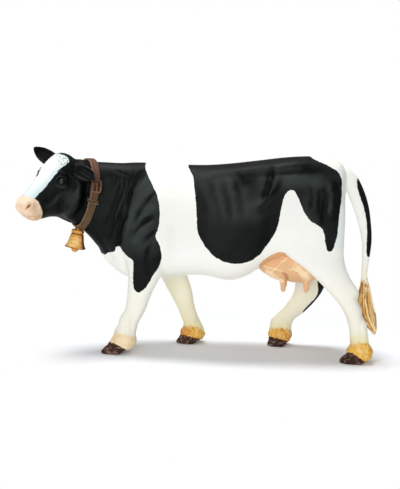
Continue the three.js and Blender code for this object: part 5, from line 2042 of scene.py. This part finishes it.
def ball(bm: bmesh.types.BMesh, centre: np.ndarray, radius: float) -> None:
    """Adds a ball at a design place, with its radius in millimetres."""
    matrix = Matrix.Translation(Vector(to_frame(centre)))
    bmesh.ops.create_uvsphere(bm, u_segments=32, v_segments=20, radius=radius * MM, matrix=matrix)


@dataclass
class Ear:
    """An ear: a pointed leaf with a deep cup in its face."""

    node: str
    side: int
    direction: Triple
    stretch: float = 1.0
    raised: float = 0.9
    bend: float = 0.8
    cup_depth: float = 1.0
    back_depth: float = 0.55
    steps: int = 12
    sides: int = 64
    paint: PlainPaint = PlainPaint("ear_black", srgb(17, 19, 19), srgb(74, 80, 78), srgb(3, 4, 4), 0.6,
                                   grain=1.4, gleam=0.12)

    @cached_property
    def axes(self) -> tuple[np.ndarray, np.ndarray, np.ndarray]:
        """Returns the ear's directions to its tip, across it and out of its face."""
        down, left, front = self.direction
        pointing = unit(HEAD.down * down + HEAD.left * left + HEAD.front * front)
        across = unit(np.cross(HEAD.front, pointing))
        return pointing, across, np.cross(pointing, across)

    def cupped(self, apart: np.ndarray, share: np.ndarray,
               half: np.ndarray) -> tuple[np.ndarray, np.ndarray]:
        """Works out the cup in the ear's face.

        Args:
            apart: The ear's places from its root, in millimetres.
            share: The shares along the ear of its rows.
            half: The rows' half widths, as shares.

        Returns:
            How deep each place is pressed in, in millimetres, and the tone of its paint: a painted
            highlight along the upper rim and painted shade in the cup.
        """
        pointing, across, face = self.axes
        reach = apart @ pointing / ((EAR_LENGTH + EAR_ROOT) * self.stretch)
        wide = np.abs(apart @ across) / (np.interp(reach, share, half) * EAR_WIDTH + 0.01)
        hollow = smooth_share(reach, 0.12, 0.4) * smooth_share(-reach, -0.97, -0.8)
        hollow = hollow * (1 - smooth_share(wide, 0.5, 0.92))
        facing = apart @ face + self.bend * np.sin(reach * math.pi) > 0
        folds = 0.07 * np.sin(wide * 9 * np.sign(apart @ across) + 1)
        depth = np.where(facing, hollow * (self.cup_depth + folds),
                         self.back_depth * hollow * self.cup_depth)
        # A painted highlight along the rim's upper part, and painted shade in the cup
        above = smooth_share(-(apart @ HEAD.down), -1.0, 1.5)
        rim = smooth_share(wide, 0.86, 1.0) * smooth_share(reach, 0.15, 0.4) * above
        return depth, np.where(facing, rim * 1.3 - 1.8 * hollow, -0.2)

    def build(self) -> None:
        """Builds the ear."""
        pointing, across, face = self.axes
        along, aside, out = EAR_PLACE
        root = HEAD.place(along, aside * self.side, out) - pointing * EAR_ROOT - HEAD.down * self.raised
        share, half, thick = blended_rows(EAR_ROWS, self.steps).T
        length = (EAR_LENGTH + EAR_ROOT) * self.stretch
        bend = self.bend * np.sin(share * math.pi)
        centre = root + np.multiply.outer(share * length, pointing) - np.multiply.outer(bend, face)
        form = form_of(centre, across, face, half * EAR_WIDTH, thick * EAR_THICKNESS)
        mesh = form_mesh("coat_" + self.node, [(form, self.sides)])
        places = mesh_places(mesh)
        depth, tone = self.cupped(places - root, share, half)
        mesh.vertices.foreach_set("co", to_frame(places - np.multiply.outer(depth, face)).ravel())
        show(mesh, {"tone": tone}, self.paint.material(), "dark_coat", self.node)


EARS = (Ear("ear_left", 1, (-0.02, 0.95, -0.31)), Ear("ear_right", -1, (0.04, -0.82, 0.57), 1.08, 0.0))
EYE_PLACE: Triple = (0.34, 0.475, -0.2)
EYE_WIDTH = 2.5


@dataclass
class Eyes:
    """The two glossy eyeballs."""

    share: float = 0.87
    paint: GlossPaint = GlossPaint()

    def build(self) -> None:
        """Builds both eyes as one piece."""
        bm = bmesh.new()
        along, aside, out = EYE_PLACE
        for side in (1, -1):
            ball(bm, HEAD.place(along, aside * side, out), EYE_WIDTH / 2 * self.share)
        show(bm_mesh(bm, "eyes"), {}, self.paint.material(), "dark_coat")


STRAP_WIDTH = 3.2
STRAP_THICKNESS = 0.9
STRAP_INNER = 0.3
STRAP_OUTER = STRAP_INNER + STRAP_THICKNESS
FIT_GAP = 0.3


class NeckWrap:
    """Places round the neck at the collar: round it, across the strap and out from the skin."""

    steps: int = 8
    turn_count: int = 721
    nudge: float = 0.05

    def __init__(self) -> None:
        """Reads the neck's section at the collar."""
        self.form = Shapes(self.steps).neck()
        self.centre, self.forward, self.left, self.up = collar_plane()
        self.offset = (self.form.centre - self.centre) @ self.forward
        self.turns = np.linspace(-math.pi, math.pi, self.turn_count)
        ring = np.stack([self.reach(self.form.half, 0.0) * np.cos(self.turns),
                         self.reach(self.form.rise, 0.0) * np.sin(self.turns)], -1)
        steps_round = np.linalg.norm(np.diff(ring, axis=0), axis=1)
        self.lengths = np.concatenate([[0.0], np.cumsum(steps_round)])
        self.lengths -= np.interp(0.0, self.turns, self.lengths)

    def reach(self, sizes: np.ndarray, across: Number) -> np.ndarray:
        """Returns one of the section's sizes at millimetres across the strap."""
        return np.interp(across, self.offset, sizes)

    def at_angle(self, degrees: float) -> float:
        """Returns how many millimetres round the neck a turn in degrees lies."""
        return float(np.interp(math.radians(degrees), self.turns, self.lengths))

    def place(self, round_mm: np.ndarray, across: Number, out: Number) -> np.ndarray:
        """Finds places on or over the neck.

        Args:
            round_mm: The millimetres round it.
            across: The millimetres across the strap.
            out: The millimetres out from the skin.

        Returns:
            The design places.
        """
        turn = np.interp(round_mm, self.lengths, self.turns)
        across = np.broadcast_to(across, turn.shape)
        wide = (self.reach(self.form.half, across) + out) * np.cos(turn)
        high = np.where(np.sin(turn) > 0, self.reach(self.form.rise, across),
                        self.reach(self.form.drop, across)) + out
        return (self.centre + np.multiply.outer(across, self.forward)
                + np.multiply.outer(wide, self.left) + np.multiply.outer(high * np.sin(turn), self.up))

    def frame(self, round_mm: np.ndarray, across: Number,
              out: Number) -> tuple[np.ndarray, np.ndarray, np.ndarray, np.ndarray]:
        """Finds places with their directions.

        Args:
            round_mm: The millimetres round the neck.
            across: The millimetres across the strap.
            out: The millimetres out from the skin.

        Returns:
            The places, and the directions round the neck, across the strap and out.
        """
        step = self.nudge
        along = unit(self.place(round_mm + step, across, out) - self.place(round_mm - step, across, out))
        over = unit(self.place(round_mm, across + step, out) - self.place(round_mm, across - step, out))
        return self.place(round_mm, across, out), along, over, unit(np.cross(over, along))


WRAP = NeckWrap()


@dataclass
class Collar:
    """The leather collar: strap, free end, buckle and keeper, with sizes in millimetres and degrees."""

    tongue_length: float = 8.0
    tongue_thickness: float = 0.6
    tongue_rows: int = 49
    buckle_length: float = 4.8
    buckle_width: float = 3.9
    buckle_bar: float = 0.8
    buckle_angle: float = 12.0
    keeper_length: float = 1.4
    keeper_wall: float = 0.4
    keeper_angle: float = -11.0
    keeper_rows: int = 49
    band_rows: int = 241
    buckle_rows: int = 97
    prong_rows: int = 25
    squareness: float = 2 / 5
    leather: PlainPaint = PlainPaint("collar_leather", srgb(98, 76, 50), srgb(140, 114, 82),
                                     srgb(54, 36, 24), 0.6, grain=1.3, bump_depth=0.16, gleam=0.2,
                                     tint=srgb(112, 74, 58))
    rust: PlainPaint = PlainPaint("buckle_rust", srgb(106, 74, 54), srgb(146, 110, 84), srgb(52, 34, 26),
                                  0.55, grain=0.9, bump_depth=0.16, gleam=0.25)

    def build(self) -> None:
        """Builds the collar's pieces."""
        self.build_strap()
        self.build_buckle()
        self.build_keeper()

    def over_strap(self, thickness: float) -> float:
        """Returns the height of the middle of a part that clears the strap and its free end."""
        return STRAP_OUTER + self.tongue_thickness + FIT_GAP + thickness / 2

    def band(self) -> Form:
        """Returns the strap, a closed band with worn edges."""
        turns = np.linspace(WRAP.lengths[0], WRAP.lengths[-1], self.band_rows)
        centre, _, over, out = WRAP.frame(turns, 0.0, STRAP_INNER + STRAP_THICKNESS / 2)
        half = STRAP_WIDTH / 2 + 0.05 * np.sin(turns * 1.1) + 0.04 * np.sin(turns * 2.7)
        half[-1] = half[0]
        return form_of(centre, over, out, half, np.full(len(turns), STRAP_THICKNESS / 2), high=6.0)

    def tongue(self) -> Form:
        """Returns the strap's free end, which lies over it and is pointed toward the buckle."""
        share = np.linspace(-1, 1, self.tongue_rows)
        span = WRAP.at_angle((self.buckle_angle + self.keeper_angle) / 2)
        turns = span + np.linspace(-self.tongue_length / 2, self.tongue_length / 2, self.tongue_rows)
        ends = np.clip(1 - np.abs(share) ** 10, 0.05, 1)
        tip = np.where(share < 0, np.clip((1 - np.abs(share)) * 6, 0, 1) ** 0.6, 1.0) * 0.75 + 0.25
        centre, _, over, out = WRAP.frame(turns, 0.0, STRAP_OUTER + self.tongue_thickness / 2)
        return form_of(centre, over, out, (STRAP_WIDTH / 2 - 0.15) * ends * tip,
                       self.tongue_thickness / 2 * ends, high=5.0)

    def build_strap(self) -> None:
        """Builds the strap with its free end, worn lighter at the edges and painted with a darker line
        along them.
        """
        mesh = form_mesh("collar_band", [(self.band(), 48), (self.tongue(), 40)])
        places = mesh_places(mesh) - WRAP.centre
        across = np.abs(places @ WRAP.forward)
        edge = smooth_share(across, STRAP_WIDTH / 2 - 0.5, STRAP_WIDTH / 2 - 0.1)
        line = np.exp(-(((across - STRAP_WIDTH / 2 + 0.75) / 0.16) ** 2))
        numbers = {"tone": 0.6 * edge - 0.4 * line, "tint": smooth_share(places @ WRAP.up, -4.0, 3.0)}
        show(mesh, numbers, self.leather.material(), "strap", "collar_strap")

    def build_buckle(self) -> None:
        """Builds the buckle, a rounded frame bent to the strap, and its prong."""
        turns = np.linspace(0, 2 * math.pi, self.buckle_rows)
        length, width = self.buckle_length - self.buckle_bar, self.buckle_width - self.buckle_bar
        round_mm = length / 2 * squared(np.cos(turns), self.squareness)
        across = width / 2 * squared(np.sin(turns), self.squareness)
        height = self.over_strap(self.buckle_bar)
        start = WRAP.at_angle(self.buckle_angle)
        centre, along, over, out = WRAP.frame(start + round_mm, across, height)
        run = np.stack([np.gradient(round_mm), np.gradient(across)], -1)
        run[[0, -1]] = (0, 1)
        run = unit(run)
        side = along * run[:, 1:] - over * run[:, :1]
        bar = np.full(len(turns), self.buckle_bar / 2)
        loop = form_of(centre, side, out, bar, bar * 0.9, high=2.6)
        reach = np.linspace(-1, 1, self.prong_rows)
        centre, _, over, out = WRAP.frame(start + reach * length / 2, 0.0, height + 0.1)
        bar = self.buckle_bar * 0.38 * (1 - 0.35 * reach) * np.clip((1 - np.abs(reach)) * 9 + 0.3, 0, 1)
        prong = form_of(centre, over, out, bar, bar)
        mesh = form_mesh("collar_buckle_frame", [(loop, 24), (prong, 20)])
        out = (mesh_places(mesh) - WRAP.centre) @ WRAP.left
        tone = smooth_share(out, out.max() - 1.0, out.max()) - 0.6
        show(mesh, {"tone": tone}, self.rust.material(), "buckle", "collar_buckle")

    def build_keeper(self) -> None:
        """Builds the keeper: a flat loop over the strap and its free end."""
        turns = np.linspace(0, math.pi, self.keeper_rows)
        low = STRAP_INNER + 0.1
        reach = STRAP_WIDTH / 2 + FIT_GAP + self.keeper_wall / 2
        across = reach * squared(np.cos(turns), self.squareness)
        height = low + (self.over_strap(self.keeper_wall) - low) * np.sin(turns) ** self.squareness
        start = np.full(len(turns), WRAP.at_angle(self.keeper_angle))
        centre, along, _, _ = WRAP.frame(start, across, height)
        run = unit(np.gradient(centre, axis=0))
        half = np.full(len(turns), self.keeper_length / 2)
        wall = np.full(len(turns), self.keeper_wall / 2)
        loop = form_of(centre, along, np.cross(along, run), half, wall, high=3.0)
        mesh = form_mesh("collar_keeper_loop", [(loop, 24)])
        top = self.keeper_rows // 2
        around = np.abs((mesh_places(mesh) - centre[top]) @ along[top])
        tone = smooth_share(around, 0.3, 0.7) * 1.3 - 0.5
        show(mesh, {"tone": tone}, self.leather.material(), "strap", "collar_keeper")


# The bell's rows run down its outside and back up inside: height, half length and half width
BELL_ROWS: Table = (
    (0, 0.05, 0.05), (0.0, 0.2, 0.2), (0.015, 0.265, 0.27), (0.05, 0.288, 0.303), (0.16, 0.29, 0.31),
    (0.185, 0.268, 0.288), (0.24, 0.268, 0.288), (0.27, 0.298, 0.325), (0.5, 0.335, 0.38),
    (0.72, 0.38, 0.425), (0.88, 0.435, 0.457), (0.965, 0.487, 0.49), (1, 0.49, 0.49),
    (1.004, 0.455, 0.445), (0.985, 0.41, 0.395), (0.9, 0.375, 0.35), (0.815, 0.35, 0.32),
    (0.81, 0.2, 0.18), (0.81, 0.03, 0.03),
)
BELL_OUTER_ROWS = 13


@dataclass
class Bell:
    """The bell that hangs under the collar, with its lug and clapper, in millimetres and degrees."""

    height: float = 7.4
    mouth: Pair = (8.4, 6.6)
    recess: float = 1.4
    lug: float = 2.6
    lug_rows: int = 13
    steps: int = 5
    lean: float = 11.0
    power: float = 3.0
    clapper: float = 3.0
    stem: float = 1.2
    stem_rows: int = 9
    gold: PlainPaint = PlainPaint("bell_gold", srgb(222, 156, 66), srgb(250, 214, 138), srgb(118, 66, 28),
                                  0.42, 0.1, grain=1.3, bump_depth=0.22)

    @property
    def hang(self) -> np.ndarray:
        """Returns the direction in which the bell hangs."""
        lean = math.radians(self.lean)
        return np.array((-math.sin(lean), 0.0, -math.cos(lean)))

    def build(self) -> None:
        """Builds the bell and its clapper."""
        lean = math.radians(self.lean)
        wide = np.array((math.cos(lean), 0.0, -math.sin(lean)))
        drop = NECK_ROWS[COLLAR_ROW][7] * NECK_DEPTH
        crown = WRAP.centre - WRAP.up * (drop + STRAP_OUTER + FIT_GAP)
        height, half, thick = blended_rows(BELL_ROWS, self.steps).T
        centre = crown + np.multiply.outer(height * self.height, self.hang)
        cup = form_of(centre, wide, FARWARD, half * self.mouth[0], thick * self.mouth[1], high=self.power)
        rise = np.linspace(-self.lug / 2, self.lug / 2, self.lug_rows)
        lug_half = np.full(self.lug_rows, self.lug / 2)
        lug_half[[0, -1]] = 0.9
        lug = form_of(crown + np.multiply.outer(rise, self.hang), wide, FARWARD, lug_half, lug_half * 0.6)
        mesh = form_mesh("bell_cup", [(cup, 72), (lug, 32)])
        places = mesh_places(mesh) - crown
        share, aside = places @ self.hang / self.height, places @ wide
        # Painted shade in the crown's groove, at the rim and at the sides, streaks of painted highlight,
        # and lighter below the crown
        groove_shade = np.exp(-(((share - 0.21) / 0.03) ** 2)) + np.exp(-(((share - 1.0) / 0.04) ** 2))
        outer = (BELL_OUTER_ROWS - 1) * self.steps + 1
        reach = np.interp(share, height[:outer], half[:outer]) * self.mouth[0]
        ends = smooth_share(np.abs(aside) / reach, 0.86, 1.03)
        highlight_streaks = 0.14 * np.sin(share * 29 + 2 * np.sin(aside * 0.9 + 3 * share))
        tone = 0.45 * smooth_share(share, 0.25, 0.5) + highlight_streaks - 1.6 * groove_shade - 1.6 * ends
        show(mesh, {"tone": tone}, self.gold.material(), "bell", "bell")
        self.build_clapper(crown + self.hang * (self.height - self.recess))

    def build_clapper(self, roof: np.ndarray) -> None:
        """Builds the clapper, a ball on a stem.

        Args:
            roof: The middle of the roof inside the bell's mouth.
        """
        bm = bmesh.new()
        ball(bm, roof + self.hang * (self.clapper / 2 + FIT_GAP), self.clapper / 2)
        rise = np.linspace(-self.stem, self.clapper / 2, self.stem_rows)
        radius = np.full(self.stem_rows, self.stem / 2)
        centre = roof + np.multiply.outer(rise, self.hang)
        form_of(centre, FARWARD, np.cross(FARWARD, self.hang), radius, radius).build(bm, 20)
        mesh = bm_mesh(bm, "bell_ball")
        show(mesh, {"tone": np.zeros(len(mesh.vertices))}, self.gold.material(), "bell", "bell_clapper")


@dataclass(frozen=True)
class Lamp:
    """A soft square lamp that faces the figure's middle, in metres and watts."""

    name: str
    place: Triple
    size: float
    watts: float
    aim: Triple = (0.0, 0.0, 0.04)

    def build(self) -> None:
        """Adds the lamp."""
        data = bpy.data.lights.new(self.name, "AREA")
        data.size = self.size
        data.energy = self.watts
        turn = (Vector(self.aim) - Vector(self.place)).to_track_quat("-Z", "Y")
        in_scene(self.name, data).matrix_world = Matrix.Translation(self.place) @ turn.to_matrix().to_4x4()


@dataclass
class Studio:
    """The floor, the lamps and the world."""

    lamps: tuple[Lamp, ...] = (Lamp("key_lamp", (-0.07, 0.085, 0.8), 0.24, 4.45),
                               Lamp("fill_lamp", (-0.1, -0.9, 0.3), 0.5, 3.2))
    floor_size: float = 3.0
    floor_colour: Colour = (0.925, 0.945, 0.985)
    glow: float = 0.05
    standing: Triple = (0.018, 0.008, 0.0)
    fade: Pair = (0.054, 0.088)
    sky: float = 0.3

    def build(self) -> None:
        """Builds the floor, the lamps and the world."""
        bm = bmesh.new()
        bmesh.ops.create_grid(bm, x_segments=1, y_segments=1, size=self.floor_size / 2)
        mesh = bpy.data.meshes.new("floor")
        bm.to_mesh(mesh)
        bm.free()
        floor = in_scene("floor", mesh)
        mesh.materials.append(self.floor_material())
        for lamp in self.lamps:
            lamp.build()
        bpy.context.scene.world = self.world()
        bpy.context.scene.view_settings.view_transform = "Standard"

    def floor_material(self) -> bpy.types.Material:
        """Returns a floor that shows pure white to the camera and keeps the soft shadow."""
        nodes = paint_nodes("floor_white")
        camera = nodes.node("ShaderNodeLightPath").outputs["Is Camera Ray"]
        diffuse = nodes.shader("BsdfDiffuse", self.floor_colour)
        lit = nodes.shader("AddShader", diffuse, nodes.shader("Emission", WHITE, self.glow))
        span = nodes.node("ShaderNodeVectorMath", {"operation": "DISTANCE"},
                          {0: nodes.place, 1: self.standing})
        far = Sum(nodes, span.outputs["Value"]).ramp(*self.fade)
        faded = nodes.shader("MixShader", far, lit, nodes.shader("Emission", WHITE, 1.0))
        return nodes.surface(nodes.shader("MixShader", camera, diffuse, faded))

    def world(self) -> bpy.types.World:
        """Returns the world, a plain soft white, and pure white where it is seen."""
        nodes = PaintNodes(bpy.data.worlds.new("studio_world"))
        camera = nodes.node("ShaderNodeLightPath").outputs["Is Camera Ray"]
        soft, plain = (nodes.shader("Background", WHITE, strength) for strength in (self.sky, 1.0))
        return nodes.surface(nodes.shader("MixShader", camera, soft, plain))


def main() -> None:
    """Builds the camera, the studio and every piece, and logs how many places and faces the pieces have."""
    logging.basicConfig(level=logging.INFO, format="%(name)s: %(message)s")
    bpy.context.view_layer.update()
    PICTURE.make_camera()
    Studio().build()
    Coat().build()
    Tail().build()
    Udder().build()
    for ear in EARS:
        ear.build()
    Eyes().build()
    Collar().build()
    Bell().build()


if __name__ == "__main__":
    main()
